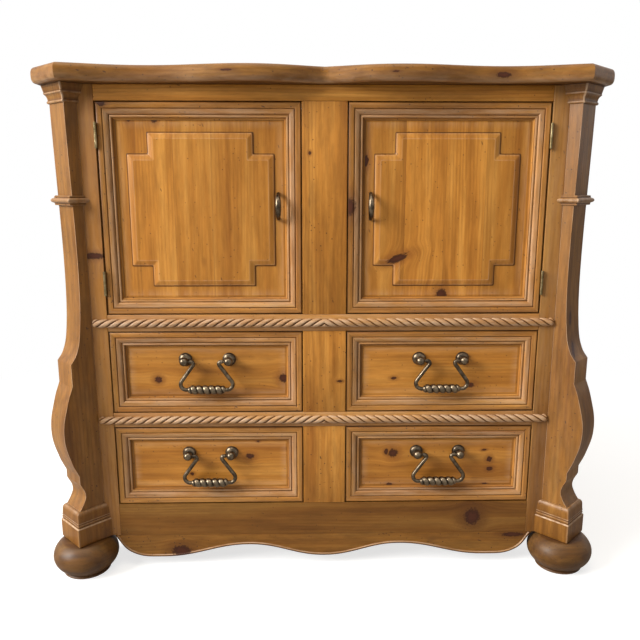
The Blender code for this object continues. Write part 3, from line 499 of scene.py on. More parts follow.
def bent_round(graph, knots, grain, along, across):
    """Grain bent round knots: where it lies across the board now, and the knots' masks."""
    masks = dict.fromkeys(KNOT_EASES, 0.0)
    for knot_x, knot_z, half_width, half_height, *lean in knots:
        if grain == "X":
            middle, side, length, width = knot_x, knot_z, half_width, half_height
        else:
            middle, side, length, width = knot_z, knot_x, half_height, half_width
        off_along = graph.minus(along, middle)
        slip = graph.times(off_along, lean[0] if lean else 0.0)
        straight = graph.minus(across, slip)
        off_across = graph.minus(straight, side)
        u = graph.math("DIVIDE", off_along, length)
        v = graph.math("DIVIDE", off_across, width)
        square = graph.plus(graph.times(u, u), graph.times(v, v))
        noise = graph.noise((along, straight, middle), KNOT_NOISE)
        ragged = graph.times(graph.minus(noise, 0.5), KNOT_RAGGED)
        reach = graph.plus(graph.math("SQRT", square), ragged)
        falling = graph.math("EXPONENT", graph.times(square, -KNOT_BEND_FALL))
        bend = graph.times(graph.times(off_across, falling), KNOT_BEND)
        across = graph.plus(graph.minus(straight, bend), slip)
        for name, ease in KNOT_EASES.items():
            masks[name] = graph.most(masks[name], graph.ease(reach, *ease))
    return across, masks


def boarded(graph, across, width):
    """Boards side by side: how far the grain of each is shifted, its shade, and a mask of the joints."""
    if not width:
        return 0.0, 1.0, 0.0
    index = graph.math("FLOOR", graph.math("DIVIDE", across, width))
    chance = graph.add("ShaderNodeTexWhiteNoise", {"W": index}, noise_dimensions="1D").outputs["Value"]
    joint = graph.ease(graph.math("PINGPONG", across, width / 2), *BOARD_JOINT_EASE)
    return graph.times(chance, BOARD_SHIFT), graph.ease(chance, *BOARD_SHADE_EASE), joint


def ring_mask(graph, place):
    """Year rings, drifting from side to side and fading in places."""
    drift = graph.times(graph.noise(place, DRIFT_NOISE), RING_DRIFT)
    phase = graph.plus(graph.times(place[1], RING_PITCH), drift)
    wave = graph.math("MULTIPLY_ADD", graph.math("SINE", phase), 0.5, 0.5)
    ring = graph.math("POWER", wave, RING_SHARPNESS)
    return graph.times(ring, graph.ease(graph.noise(place, FADE_NOISE), *FADE_EASE))


def fleck_mask(graph, place, kind, marks):
    """Scattered small dark marks: worm holes when round, slanting nicks when stretched."""
    stretch, lean, scale, size, share = kind
    along, side, depth = place
    slanted = graph.math("MULTIPLY_ADD", along, lean, side)
    vector = graph.vector(graph.times(along, stretch), slanted, depth)
    cells = graph.add("ShaderNodeTexVoronoi", {"Vector": vector, "Scale": scale}).outputs
    chance = graph.add("ShaderNodeSeparateColor", {0: cells["Color"]}).outputs[0]
    near = graph.ease(cells["Distance"], size / 2, size, 1.0, 0.0)
    crowd = graph.ease(graph.noise(place, CROWD_NOISE), *CROWD_EASE)
    return graph.times(graph.times(near, crowd), graph.math("LESS_THAN", chance, share * marks))


def toned(colour, tone):
    return tuple(value * tone for value in colour)


def streaked(graph, streak, colours):
    """Colour that runs from dark to light with the streaks of the grain."""
    ramp = graph.add("ShaderNodeValToRGB", {0: streak})
    stops = ramp.color_ramp.elements
    stops.new(STREAK_STOPS[1])
    for stop, position, colour in zip(stops, STREAK_STOPS, colours):
        stop.position = position
        stop.color = (*colour, 1)
    return ramp.outputs[0]


def new_material(name):
    """A material, its graph and the sockets of its shader."""
    material = bpy.data.materials.new(name)
    material.use_nodes = True
    return material, Graph(material.node_tree), material.node_tree.nodes["Principled BSDF"].inputs


def pine(name, grain, tone=1.0, board=0.0, knots=(), worn=0.0, bare=False, marks=1.0, rough=PINE_ROUGHNESS):
    """Pine with its grain along one axis; knots are (x, z, half width, half height) and may lean."""
    material, graph, sockets = new_material(name)
    x, y, z = graph.place()
    along, across, depth = {"X": (x, z, y), "Y": (y, x, z), "Z": (z, x, y)}[grain]
    bent, knot = bent_round(graph, knots, grain, along, across)
    shift, shade, joint = boarded(graph, across, board)
    place = (graph.plus(along, shift), bent, depth)
    ring = ring_mask(graph, place)
    fibre = graph.noise(place, FIBRE_NOISE)

    woods = [toned(colour, tone) for colour in (BARE_COLOURS if bare else PINE_COLOURS)]
    colour = streaked(graph, graph.noise(place, STREAK_NOISE), woods)
    depths = (1 - MOTTLE_DARK * marks, 1 + MOTTLE_LIGHT * marks)
    shade = graph.times(graph.ease(graph.noise(place, MOTTLE_NOISE), *MOTTLE_EASE, *depths), shade)
    grey = graph.add("ShaderNodeCombineColor", {0: shade, 1: shade, 2: shade}).outputs[0]
    colour = graph.mix(1.0, colour, grey, "MULTIPLY")
    ring_colour = toned(woods[0], RING_TONE)
    layers = (
        (graph.times(ring, RING_DEPTH), ring_colour),
        (graph.ease(fibre, *FIBRE_EASE), ring_colour),
        (graph.times(knot["Halo"], HALO_DEPTH), toned(KNOT_HALO, tone)),
        (graph.times(knot["Heart"], HEART_DEPTH), KNOT_HEART),
        (graph.times(knot["Core"], CORE_DEPTH), KNOT_CORE),
        (joint, PINE_WAX_AND_PAINTED_SHADE),
    )
    for mask, layer in layers:
        colour = graph.mix(mask, colour, layer)

    flecks = graph.most(*[fleck_mask(graph, place, kind, marks) for kind in (SPECKS, NICKS)])
    smudge = graph.ease(graph.noise(place, SMUDGE_NOISE), *SMUDGE_EASE)
    dirt = graph.most(graph.times(flecks, FLECK_DEPTH), smudge)
    if not bare:
        colour = graph.mix(graph.times(dirt, marks, clamp=True), colour, PINE_WAX_AND_PAINTED_SHADE)

    # Below zero the age mark pulls towards the wax colour, which is wax and painted shade; above zero towards the
    # rubbed colour, which is wear and, on some ridges, a painted highlight.
    age_and_painted_light = graph.age_and_painted_light()
    patch = graph.noise(place, PATCH_NOISE)
    rubbed = graph.times(graph.plus(age_and_painted_light, worn, clamp=True), graph.ease(patch, *RUB_AND_HIGHLIGHT_EASE))
    rubbed = graph.times(rubbed, graph.minus(1.0, knot["Heart"]))
    colour = graph.mix(rubbed, colour, toned(PINE_WORN_AND_PAINTED_HIGHLIGHT, max(tone, RUBBED_AND_HIGHLIGHT_TONE)))
    waxed_and_painted_shade = graph.times(graph.times(age_and_painted_light, -1.0, clamp=True), graph.ease(patch, *WAX_AND_SHADE_EASE))
    graph.put(sockets["Base Color"], graph.mix(waxed_and_painted_shade, colour, PINE_WAX_AND_PAINTED_SHADE))

    sheen = graph.noise(place, SHEEN_NOISE)
    graph.put(sockets["Roughness"], graph.math("MULTIPLY_ADD", sheen, PINE_ROUGHNESS_SPREAD, rough))
    graph.put(sockets["Specular IOR Level"], PINE_SPECULAR)
    relief = graph.plus(graph.times(fibre, FIBRE_RELIEF), graph.times(ring, RING_RELIEF))
    relief = graph.plus(relief, graph.times(dirt, DIRT_RELIEF))
    relief = graph.plus(relief, graph.times(graph.noise(place, DENT_NOISE), DENT_RELIEF))
    graph.put(sockets["Normal"], graph.bump(relief, PINE_BUMP))
    return material


def metal(name, bright_colour, dull_colour):
    """Aged metal: bright where it is handled, dark in its grooves."""
    material, graph, sockets = new_material(name)
    place = graph.place()
    cloud = graph.noise(place, CLOUD_NOISE)
    age_and_painted_light = graph.age_and_painted_light()
    bright = graph.plus(graph.ease(cloud, *CLOUD_EASE), graph.times(age_and_painted_light, METAL_HANDLED), clamp=True)
    colour = graph.mix(bright, dull_colour, bright_colour)
    dark = graph.times(age_and_painted_light, -1.0, clamp=True)
    spots = graph.ease(graph.noise(place, SPOT_NOISE), *SPOT_EASE)
    graph.put(sockets["Base Color"], graph.mix(graph.most(dark, spots), colour, METAL_DARK))
    graph.put(sockets["Metallic"], 1.0)
    rough = graph.math("MULTIPLY_ADD", cloud, METAL_ROUGHNESS_SPREAD, METAL_ROUGHNESS)
    graph.put(sockets["Roughness"], rough)
    graph.put(sockets["Normal"], graph.bump(cloud, METAL_BUMP))
    return material


TOP_KNOTS = (
    (0.343, 1.050, 0.016, 0.006),
    (0.133, 1.052, 0.007, 0.002),
    (-0.186, 1.054, 0.012, 0.002),
)
LEFT_STILE_KNOTS = ((-0.472, 0.700, 0.024, 0.0075),)
CENTRE_STILE_KNOTS = ((0.033, 0.431, 0.007, 0.003), (-0.030, 0.905, 0.003, 0.004))
FRAME_RAIL_KNOTS = ((-0.440, 1.000, 0.010, 0.007),)
FRAME_STILE_KNOTS = ((0.049, 0.7985, 0.016, 0.020),)
POST_KNOTS = ((0.517, 0.568, 0.004, 0.017), (0.524, 0.502, 0.005, 0.019))
LEFT_PANEL_KNOTS = ((-0.390, 0.972, 0.005, 0.007), (-0.339, 0.971, 0.007, 0.009))
RIGHT_PANEL_KNOTS = (
    (0.084, 0.890, 0.006, 0.012),
    (0.151, 0.693, 0.017, 0.0125, 1.3),
    (0.246, 0.6165, 0.0125, 0.013),
)
DRAWER_KNOTS = {
    "upper_left": ((-0.3555, 0.433, 0.009, 0.008), (-0.087, 0.435, 0.012, 0.011)),
    "upper_right": ((0.150, 0.434, 0.007, 0.0035), (0.317, 0.418, 0.009, 0.007)),
    "lower_left": (
        (-0.1635, 0.257, 0.010, 0.007),
        (-0.292, 0.216, 0.005, 0.004),
        (-0.145, 0.292, 0.004, 0.003),
    ),
    "lower_right": (
        (0.152, 0.262, 0.012, 0.011),
        (0.1365, 0.264, 0.005, 0.004),
        (0.366, 0.246, 0.007, 0.007),
        (0.368, 0.225, 0.008, 0.007),
        (0.145, 0.188, 0.007, 0.004),
        (0.358, 0.187, 0.006, 0.003),
        (0.354, 0.267, 0.006, 0.003),
    ),
}
DRAWER_TONES = {"upper_left": 0.90, "upper_right": 1.0, "lower_left": 1.0, "lower_right": 0.93}
APRON_KNOTS = ((0.3315, 0.113, 0.020, 0.022),)
SKIRT_KNOTS = ((0.425, 0.069, 0.027, 0.006), (-0.320, 0.036, 0.024, 0.014))

TOP_PINE = pine("top_pine", "X", 0.47, knots=TOP_KNOTS, worn=0.04, marks=1.7)
TOP_RAIL_PINE = pine("top_rail_pine", "X", 1.06)
RAIL_PINE = pine("rail_pine", "X", 0.82, worn=0.30)
CENTRE_STILE_PINE = pine("centre_stile_pine", "Z", 0.90, knots=CENTRE_STILE_KNOTS, marks=1.4)
STILE_PINES = {
    "left": pine("left_stile_pine", "Z", 0.72, knots=LEFT_STILE_KNOTS, worn=0.15),
    "right": pine("right_stile_pine", "Z", 0.62, worn=0.15),
}
SIDE_PINE = pine("side_pine", "Z", 0.84, board=0.095)
POST_PINE = pine("post_pine", "Z", 0.48, knots=POST_KNOTS, worn=0.06, marks=1.8)
WORN_PINE = pine("worn_pine", "Z", 0.80, worn=0.9)
PLINTH_PINE = pine("plinth_pine", "Z", 0.48, marks=1.5)
FOOT_PINE = pine("foot_pine", "X", 0.23, marks=2.4, rough=0.34)
ROPE_PINE = pine("rope_pine", "X", 0.74, worn=0.62, marks=0.5)
# Every door and drawer frame has its left members in a darker copy of the pine, painted shade, and its right
# members in a lighter one, painted light; rails take the plain one.
FRAME_PINES = [
    pine("frame_rail_pine", "X", 0.82, knots=FRAME_RAIL_KNOTS, worn=0.06, marks=1.6),
    pine("frame_left_painted_shade_pine", "Z", 0.60, knots=FRAME_STILE_KNOTS, marks=1.6),
    pine("frame_right_painted_light_pine", "Z", 0.90, worn=0.06, marks=1.6),
]
PANEL_PINES = {
    "left": pine("left_panel_pine", "Z", 1.02, board=0.076, knots=LEFT_PANEL_KNOTS),
    "right": pine("right_panel_pine", "Z", 1.02, board=0.082, knots=RIGHT_PANEL_KNOTS),
}
APRON_PINE = pine("apron_pine", "X", 0.42, knots=APRON_KNOTS)
SKIRT_PINE = pine("skirt_pine", "X", 0.48, knots=SKIRT_KNOTS, marks=1.6)
INNER_X_PINE = pine("inner_pine_across", "X", bare=True, board=0.11)
INNER_Y_PINE = pine("inner_pine_deep", "Y", bare=True)
INNER_Z_PINE = pine("inner_pine_upright", "Z", bare=True, board=0.10)
BRONZE = metal("antique_bronze", BRONZE_BRIGHT, BRONZE_DULL)
BRASS = metal("hinge_brass", BRASS_BRIGHT, BRASS_DULL)


def add_object(name, data):
    item = bpy.data.objects.new(name, data)
    bpy.context.scene.collection.objects.link(item)
    return item


def add_piece(mesh, node, materials):
    """Place a finished mesh on its node's body, under its own name, standing for the node."""
    piece = add_object(mesh.name, mesh)
    for material in materials:
        mesh.materials.append(material)
    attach(piece, BODY_OF[node])
    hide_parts(node)
    return piece


def soften(piece, width, segments=2, edge_slot=0):
    """Round the sharp edges; the rounded faces take the material of a slot."""
    bevel = piece.modifiers.new("Eased edges", "BEVEL")
    bevel.width = width
    bevel.segments = segments
    bevel.limit_method = "ANGLE"
    bevel.angle_limit = SHARP_ANGLE
    bevel.harden_normals = True
    bevel.material = edge_slot
    piece.data.shade_smooth()


def finished(shape, name, smooth=True):
    bmesh.ops.recalc_face_normals(shape, faces=shape.faces)
    mesh = bpy.data.meshes.new(name)
    shape.to_mesh(mesh)
    shape.free()
    if smooth:
        mesh.shade_smooth()
        mesh.set_sharp_from_angle(angle=SHARP_ANGLE)
    return mesh


def add_vertex(shape, layer, point, age_and_painted_light):
    vertex = shape.verts.new(point)
    vertex[layer] = age_and_painted_light
    return vertex


def loft(name, loops, ring=False, slot_of=None, cap_slot=0, smooth=True):
    """Skin loops of (point, age) that have as many points each."""
    shape = bmesh.new()
    layer = shape.verts.layers.float.new("age_and_painted_light")
    rows = [[add_vertex(shape, layer, point, age_and_painted_light) for point, age_and_painted_light in loop] for loop in loops]
    pairs = list(zip(rows, rows[1:]))
    if ring:
        pairs.append((rows[-1], rows[0]))
    else:
        for row in (rows[0], rows[-1]):
            face = shape.faces.new(row)
            face.material_index = cap_slot
    for number, (first, second) in enumerate(pairs):
        for corner in range(len(first)):
            face = shape.faces.new((first[corner - 1], first[corner], second[corner], second[corner - 1]))
            face.material_index = slot_of(number, corner) if slot_of else 0
    return finished(shape, name, smooth)


def loft_rows(name, rows, loop_of, **settings):
    """Skin the loops that loop_of draws for the two sizes of each row."""
    loops = [[(point, age_and_painted_light) for point in loop_of(first, second)] for first, second, age_and_painted_light in rows]
    return loft(name, loops, **settings)


def welded_copy(node):
    """The node's own solid, as an edit mesh with one face for each flat stretch."""
    shape = bmesh.new()
    shape.from_mesh(frame["nodes"][node].data)
    bmesh.ops.remove_doubles(shape, verts=shape.verts, dist=WELD)
    bmesh.ops.recalc_face_normals(shape, faces=shape.faces)
    shape.normal_update()
    bmesh.ops.dissolve_limit(shape, angle_limit=FLAT_ANGLE, verts=shape.verts, edges=shape.edges)
    return shape


def eased_board(node, material, width=EASED_EDGE):
    """The node's board with its edges eased."""
    mesh = finished(welded_copy(node), node + "_eased", smooth=False)
    soften(add_piece(mesh, node, [material]), width)


def paint(node, material):
    """Give a node of the frame, carried as it is, its material."""
    materials = frame["nodes"][node].data.materials
    materials.clear()
    materials.append(material)


def outline_points(knots):
    """Points along a closed outline; a knot marked SMOOTH lies on a curve, any other is a corner."""
    curve = bpy.data.curves.new("outline", "CURVE")
    curve.dimensions = "2D"
    curve.fill_mode = "NONE"
    curve.resolution_u = CURVE_STEPS
    spline = curve.splines.new("BEZIER")
    spline.bezier_points.add(len(knots) - 1)
    spline.use_cyclic_u = True
    for point, knot in zip(spline.bezier_points, knots):
        point.co = (knot[0], knot[1], 0)
        handle = "AUTO" if SMOOTH in knot else "VECTOR"
        point.handle_left_type = handle
        point.handle_right_type = handle
    holder = add_object("outline", curve)
    seen = holder.evaluated_get(bpy.context.evaluated_depsgraph_get())
    mesh = bpy.data.meshes.new_from_object(seen)
    points = [(vertex.co.x, vertex.co.y) for vertex in mesh.vertices]
    bpy.data.objects.remove(holder)
    return points


def mirrored(knots):
    left = [(-knot[0], *knot[1:]) for knot in reversed(knots) if knot[0] > 0]
    return knots + left


def with_neighbours(points):
    """Each point of a closed outline, between the one before it and the one after it."""
    points = [Vector(point) for point in points]
    return zip(points[-1:] + points[:-1], points, points[1:] + points[:1])


def inset_outline(points, inset):
    """An outline drawn in by an even distance, with its corners mitred."""
    area = sum(a[0] * b[1] - b[0] * a[1] for a, b in zip(points, points[1:] + points[:1]))
    turn = 1 if area > 0 else -1
    result = []
    for before, point, after in with_neighbours(points):
        first = (point - before).normalized()
        second = (after - point).normalized()
        normal = Vector((-first.y - second.y, first.x + second.x)).normalized()
        lean = max(normal.dot(Vector((-first.y, first.x))), MITRE_LIMIT)
        result.append(tuple(point + normal * (turn * inset / lean)))
    return result


def plate(name, outline, low, high):
    """Flat plate from an outline in two axes, between two depths along the third."""
    loops = [[((u, depth, v), 0.0) for u, v in outline] for depth in (low, high)]
    return loft(name, loops, smooth=False)


def rectangle(low_u, high_u, low_v, high_v):
    return [(low_u, low_v), (high_u, low_v), (high_u, high_v), (low_u, high_v)]


def rounded(points, radius):
    """An outline with each corner rounded."""
    result = []
    for before, corner, after in with_neighbours(points):
        start = corner + (before - corner).normalized() * radius
        end = corner + (after - corner).normalized() * radius
        for step in range(CORNER_STEPS + 1):
            share = step / CORNER_STEPS
            point = start * (1 - share) ** 2 + corner * 2 * share * (1 - share) + end * share ** 2
            result.append(tuple(point))
    return result


def arc(centre, radius, start, end, steps):
    """Points on an arc, with its angles in degrees."""
    points = []
    for step in range(steps + 1):
        angle = math.radians(start + (end - start) * step / steps)
        points.append((centre[0] + radius * math.cos(angle), centre[1] + radius * math.sin(angle)))
    return points


def turned(name, profile, steps, matrix):
    """Solid turned about Z from points (radius, height, age), the first and the last on the axis."""
    shape = bmesh.new()
    layer = shape.verts.layers.float.new("age_and_painted_light")
    rows = []
    for radius, height, age_and_painted_light in profile:
        row = []
        for step in range(steps if radius > 0 else 1):
            angle = 2 * math.pi * step / steps
            spot = Vector((radius * math.cos(angle), radius * math.sin(angle), height))
            row.append(add_vertex(shape, layer, matrix @ spot, age_and_painted_light))
        rows.append(row)
    for first, second in zip(rows, rows[1:]):
        for step in range(steps):
            corners = ((first, step - 1), (first, step), (second, step), (second, step - 1))
            ring = [row[index % len(row)] for row, index in corners]
            shape.faces.new(tuple(dict.fromkeys(ring)))
    return finished(shape, name)


def swept(name, points, radius_of, side, sides=ROD_SIDES):
    """Round rod along a flat path; radius_of gives the radius and age at a step and an angle."""
    loops = []
    for index, point in enumerate(points):
        before = points[max(index - 1, 0)]
        after = points[min(index + 1, len(points) - 1)]
        other = (after - before).normalized().cross(side).normalized()
        loop = []
        for step in range(sides):
            angle = 2 * math.pi * step / sides
            radius, age_and_painted_light = radius_of(index, angle)
            loop.append((point + radius * (math.cos(angle) * side + math.sin(angle) * other), age_and_painted_light))
        loops.append(loop)
    return loft(name, loops)


def strand(phase):
    """Place across a strand, from -1 to 1, and its round height there, from the strands passed."""
    across = 2 * (phase - math.floor(phase)) - 1
    return across, math.sqrt(max(1 - across * across, 0))


def make_top():
    low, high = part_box("top_board")
    half = [
        (0, FACE_Y - TOP_CUSP_REACH),
        (TOP_LOBE_X, FACE_Y - TOP_LOBE_REACH, SMOOTH),
        (TOP_RECESS_X, FACE_Y - TOP_RECESS_REACH, SMOOTH),
        (high.x - TOP_CANT, FACE_Y - TOP_CORNER_REACH),
        (high.x, FACE_Y + TOP_CANT - TOP_CORNER_REACH),
        (high.x, high.y),
    ]
    outline = outline_points(mirrored(half))
    height = high.z - low.z
    flat_inset = TOP_NOSE + EASED_EDGE
    profile = [(flat_inset, 0.0, -0.7)]
    for across, up in arc((0, 0), 1, -84, 84, 18):
        inset = TOP_NOSE * (1 - across ** TOP_NOSE_FLATNESS)
        rise = math.copysign(abs(up) ** TOP_NOSE_FLATNESS, up)
        profile.append((inset, height / 2 * (1 + rise), TOP_NOSE_AGE - TOP_NOSE_FADE * up))
    profile.append((flat_inset, height, -0.2))

    def loop_of(inset, rise):
        return [(x, y, low.z + rise) for x, y in inset_outline(outline, inset)]

    mesh = loft_rows("top_board_moulded", profile, loop_of)
    add_piece(mesh, "top_board", [TOP_PINE])


def make_apron():
    low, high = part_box("apron")
    stile_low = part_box("right_stile")[0]
    end_x = stile_low.x - GAP
    joint_z = stile_low.z - GAP
    wave = [
        (0, APRON_LOW, SMOOTH),
        (APRON_HIGH_X, APRON_HIGH, SMOOTH),
        (APRON_SIDE_LOW_X, APRON_LOW, SMOOTH),
        (high.x - APRON_END_TURN, APRON_LOW + APRON_END_RISE, SMOOTH),
        (high.x, joint_z),
    ]
    skirt = outline_points(mirrored(wave))
    mesh = plate("apron_skirt", skirt, low.y, high.y)
    soften(add_piece(mesh, "apron", [SKIRT_PINE]), APRON_EDGE)
    board = rectangle(-end_x, end_x, stile_low.z, high.z)
    mesh = plate("apron_board", board, low.y, high.y)
    soften(add_piece(mesh, "apron", [APRON_PINE]), APRON_EDGE)

    middles = zip(skirt, inset_outline(skirt, APRON_BEAD))
    path = sorted(middle for edge, middle in middles if edge[1] < joint_z - WELD)
    path = [Vector((x, low.y + OVERLAP, z)) for x, z in path]

    # Upper half of the bead pale as painted highlight, the rest dark as painted shadow.
    def bead_of(index, angle):
        crest = math.sin(angle) > APRON_BEAD_CREST
        return APRON_BEAD, APRON_BEAD_PAINTED_HIGHLIGHT if crest else APRON_BEAD_PAINTED_SHADOW

    mesh = swept("apron_bead", path, bead_of, Vector((0, 1, 0)), APRON_BEAD_SIDES)
    add_piece(mesh, "apron", [SKIRT_PINE])


def corner_matrix(side):
    """Frame of a canted corner: X points out of the cant, from the middle of its width."""
    middle = POST_WIDTH / 2 * DIAGONAL
    side_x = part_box("right_stile")[1].x
    turn = -math.pi / 4 if side > 0 else -3 * math.pi / 4
    place = (side * (side_x - middle), FACE_Y + middle, 0)
    return Matrix.Translation(place) @ Matrix.Rotation(turn, 4, "Z")


def post_outline(base, top):
    """Side view of a corner post as (distance out of the cant, height)."""
    step_top = POST_STEP_RISE + POST_STEP_HEIGHT
    tip = POST_NOTCH_RISE + POST_SHOULDER_HEIGHT
    belly = (POST_STEP + POST_BELLY) / 2
    shoulder = (POST_STEP + POST_SHAFT) / 2
    knots = [
        (POST_FLARE, 0),
        ((POST_FLARE + 2 * POST_NECK) / 3, POST_NECK_RISE / 2, SMOOTH),
        (POST_NECK, POST_NECK_RISE, SMOOTH),
        (POST_STEP, POST_STEP_RISE),
        (POST_STEP, step_top),
        (belly, (2 * step_top + POST_BELLY_RISE) / 3, SMOOTH),
        (POST_BELLY, POST_BELLY_RISE, SMOOTH),
        (belly, (POST_BELLY_RISE + 2 * POST_NOTCH_RISE) / 3, SMOOTH),
        (POST_STEP, POST_NOTCH_RISE),
        (POST_STEP, tip),
        (shoulder, (3 * tip + POST_SHAFT_RISE) / 4, SMOOTH),
        (POST_SHAFT, POST_SHAFT_RISE, SMOOTH),
    ]
    knots = [(knot[0], base + knot[1], *knot[2:]) for knot in knots]
    return outline_points(knots + [(POST_SHAFT, top), (GAP, top), (GAP, base)])


def scribed_outline(back, front, half, age_and_painted_light, wear):
    """Plan of a block on a canted corner, as (point, age).

    Its wings are cut to fit the faces on either side of the cant, and its two rounded corners are rubbed.
    """
    reach = POST_WIDTH / 2 + GAP / DIAGONAL
    wing = reach - half
    turn = reach - back
    eased = rounded(rectangle(wing, front, -half, half), ARRIS_ROUND)
    corner = len(eased) // 4
    fade = ARRIS_ROUND + ARRIS_FADE
    rubbed = max(age_and_painted_light, wear) if age_and_painted_light > -ARRIS_WEAR else age_and_painted_light
    stretches = (
        ([(wing, -half), (front - fade, -half)], age_and_painted_light),
        (eased[corner:2 * corner], rubbed),
        ([(front, fade - half), (front, half - fade)], age_and_painted_light),
        (eased[2 * corner:3 * corner], rubbed),
        ([(front - fade, half), (wing, half), (back, turn), (back, -turn)], age_and_painted_light),
    )
    return [(point, value) for points, value in stretches for point in points]


def collar(name, matrix, low_z, levels, back, front, half, wear=ARRIS_WEAR):
    """Moulding that wraps a post or a plinth, at levels of (rise, spread, age)."""
    loops = []
    for rise, spread, age_and_painted_light in levels:
        outline = scribed_outline(back, front + spread, half + spread, age_and_painted_light, wear)
        loops.append([(matrix @ Vector((u, v, low_z + rise)), value) for (u, v), value in outline])
    return loft(name, loops)


def ring_levels():
    """A bead between two fillets."""
    levels = list(RING_EDGE_LEVELS)
    for across, up in arc((0, 0), 1, -78, 78, 10):
        spread = RING_FILLET + across * RING_BEAD_REACH
        levels.append((RING_HEIGHT / 2 + up * RING_BEAD_HALF, spread, 0.35))
    for rise, spread, age_and_painted_light in reversed(RING_EDGE_LEVELS):
        levels.append((RING_HEIGHT - rise, spread, age_and_painted_light))
    return levels


def make_corner(name, side):
    matrix = corner_matrix(side)
    node = name + "_post"
    low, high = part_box(node)
    outline = post_outline(low.z, high.z)
    mesh = plate(node + "_scrolled", outline, -POST_WIDTH / 2, POST_WIDTH / 2)
    mesh.transform(matrix)
    piece = add_piece(mesh, node, [POST_PINE, WORN_PINE])
    soften(piece, POST_EDGE, POST_EDGE_STEPS, edge_slot=1)
    collars = {
        name + "_capital": (high.z - CAPITAL_HEIGHT, CAPITAL_LEVELS),
        name + "_ring": (high.z - RING_DROP - RING_HEIGHT / 2, ring_levels()),
    }
    for piece_name, (low_z, levels) in collars.items():
        mesh = collar(piece_name, matrix, low_z, levels, COLLAR_BACK, POST_SHAFT, POST_WIDTH / 2)
        add_piece(mesh, node, [POST_PINE])
    make_plinth(name, matrix)
    make_foot(name, matrix)


def make_plinth(name, matrix):
    node = name + "_plinth"
    low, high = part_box(node)
    half = POST_WIDTH / 2 + PLINTH_SPREAD
    levels = [*PLINTH_LEVELS, (high.z - low.z, PLINTH_TOP_SPREAD, 0.3)]
    mesh = collar(node + "_moulded", matrix, low.z, levels, GAP, PLINTH_DEPTH, half, PLINTH_ARRIS_WEAR)
    add_piece(mesh, node, [PLINTH_PINE])


def make_foot(name, matrix):
    """Bun on a thin pad."""
    node = name + "_front_foot"
    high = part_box(node)[1].z
    rise = (high - FOOT_PAD_HEIGHT) / 2
    bulge_z = FOOT_PAD_HEIGHT + rise
    start = math.degrees(math.acos(FOOT_NECK_RADIUS / FOOT_RADIUS))
    end = -math.degrees(math.acos(FOOT_PAD_RADIUS / FOOT_RADIUS))
    stretch = rise / math.sin(math.radians(start))
    profile = [(0, high, 0.0), (FOOT_NECK_RADIUS - OVERLAP, high, -0.6)]
    for across, up in arc((0, 0), 1, start, end, 24)[1:]:
        profile.append((FOOT_RADIUS * across, bulge_z + stretch * up, 0.05))
    profile += [
        (FOOT_PAD_RADIUS - FOOT_PAD_EDGE, FOOT_PAD_HEIGHT - OVERLAP, -0.9),
        (FOOT_PAD_RADIUS, FOOT_PAD_HEIGHT - FOOT_PAD_LIP, 0.2),
        (FOOT_PAD_RADIUS, FOOT_PAD_EDGE, 0.2),
        (FOOT_PAD_RADIUS - FOOT_PAD_EDGE, 0, -0.3),
        (0, 0, -0.3),
    ]
    axis = matrix @ Matrix.Translation((PLINTH_DEPTH / 2, 0, 0))
    mesh = turned(node + "_turned", profile, FOOT_TURNS, axis)
    add_piece(mesh, node, [FOOT_PINE])


def make_rope(node):
    """Carved rope: strands lean one way left of the middle and the other way right of it."""
    low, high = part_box(node)
    radius = (high.z - low.z) / 2
    centre_z = (high.z + low.z) / 2
    half_length = high.x
    strands = round(half_length / ROPE_PITCH)
    columns = strands * ROPE_STEPS
    loops = []
    for column in range(-columns, columns + 1):
        x = half_length * column / columns
        inside = half_length - abs(x)
        taper = math.sqrt(max(1 - (1 - min(inside / radius, 1)) ** 2, ROPE_END))
        loop = []
        for step in range(ROPE_SIDES + 1):
            turn = step / ROPE_SIDES
            lean = ROPE_LEAN * (turn - 0.5)
            across, crown = strand((abs(x) - lean) / half_length * strands)
            rib = max(1 - abs(across - ROPE_RIB_PLACE) / ROPE_RIB_WIDTH, 0)
            size = radius * taper * (1 - ROPE_GROOVE * (1 - crown) - ROPE_RIB * rib)
            angle = math.pi * turn
            point = (x, high.y - size * math.sin(angle), centre_z + size * math.cos(angle))
            # The first and last steps, along the rope's base on the rail, are darkened: painted shadow.
            base_painted_shadow = ROPE_BASE_PAINTED_SHADOW if step in (0, ROPE_SIDES) else 0.0
            # Grooves are darkened as wax and painted shade; crowns are rubbed pale, which is wear and also a
            # painted highlight.
            groove_wax_and_shade = ROPE_GROOVE_WAX_AND_SHADE * (1 - crown) ** ROPE_GROOVE_POWER
            loop.append((point, crown - groove_wax_and_shade - ROPE_RIB_WAX_AND_SHADE * rib - base_painted_shadow))
        loops.append(loop)
    add_piece(loft(node + "_carved", loops), node, [ROPE_PINE])


def moulding_profile():
    """Moulding from its outer edge in: a flat, then an ovolo, a bead and a cove, with grooves between."""
    profile = list(MOULD_EDGE)
    for across, up in arc((0, 0), 1, 78, 12, 8):
        inset = OVOLO_CENTRE[0] + OVOLO_SIZE[0] * across
        profile.append((inset, OVOLO_CENTRE[1] - OVOLO_SIZE[1] * up, 0.40))
    profile += MOULD_QUIRK
    profile += [(*point, 0.45) for point in arc(BEAD_CENTRE, -BEAD_RADIUS, 15, 165, 7)]
    profile += MOULD_FILLET
    profile += [(*point, 0.0) for point in arc(COVE_CENTRE, COVE_RADIUS, 185, 100, 5)]
    return profile + [(MOULD_WIDTH, MOULD_SINK, -0.35)]


def panel_border(depth, wear):
    """A panel beside its frame: a dark line, then a rubbed one."""
    return [
        (MOULD_WIDTH + PANEL_LINE, depth, -0.15),
        (MOULD_WIDTH + PANEL_RUB, depth, wear),
        (MOULD_WIDTH + PANEL_SHADE, depth, 0.0),
    ]


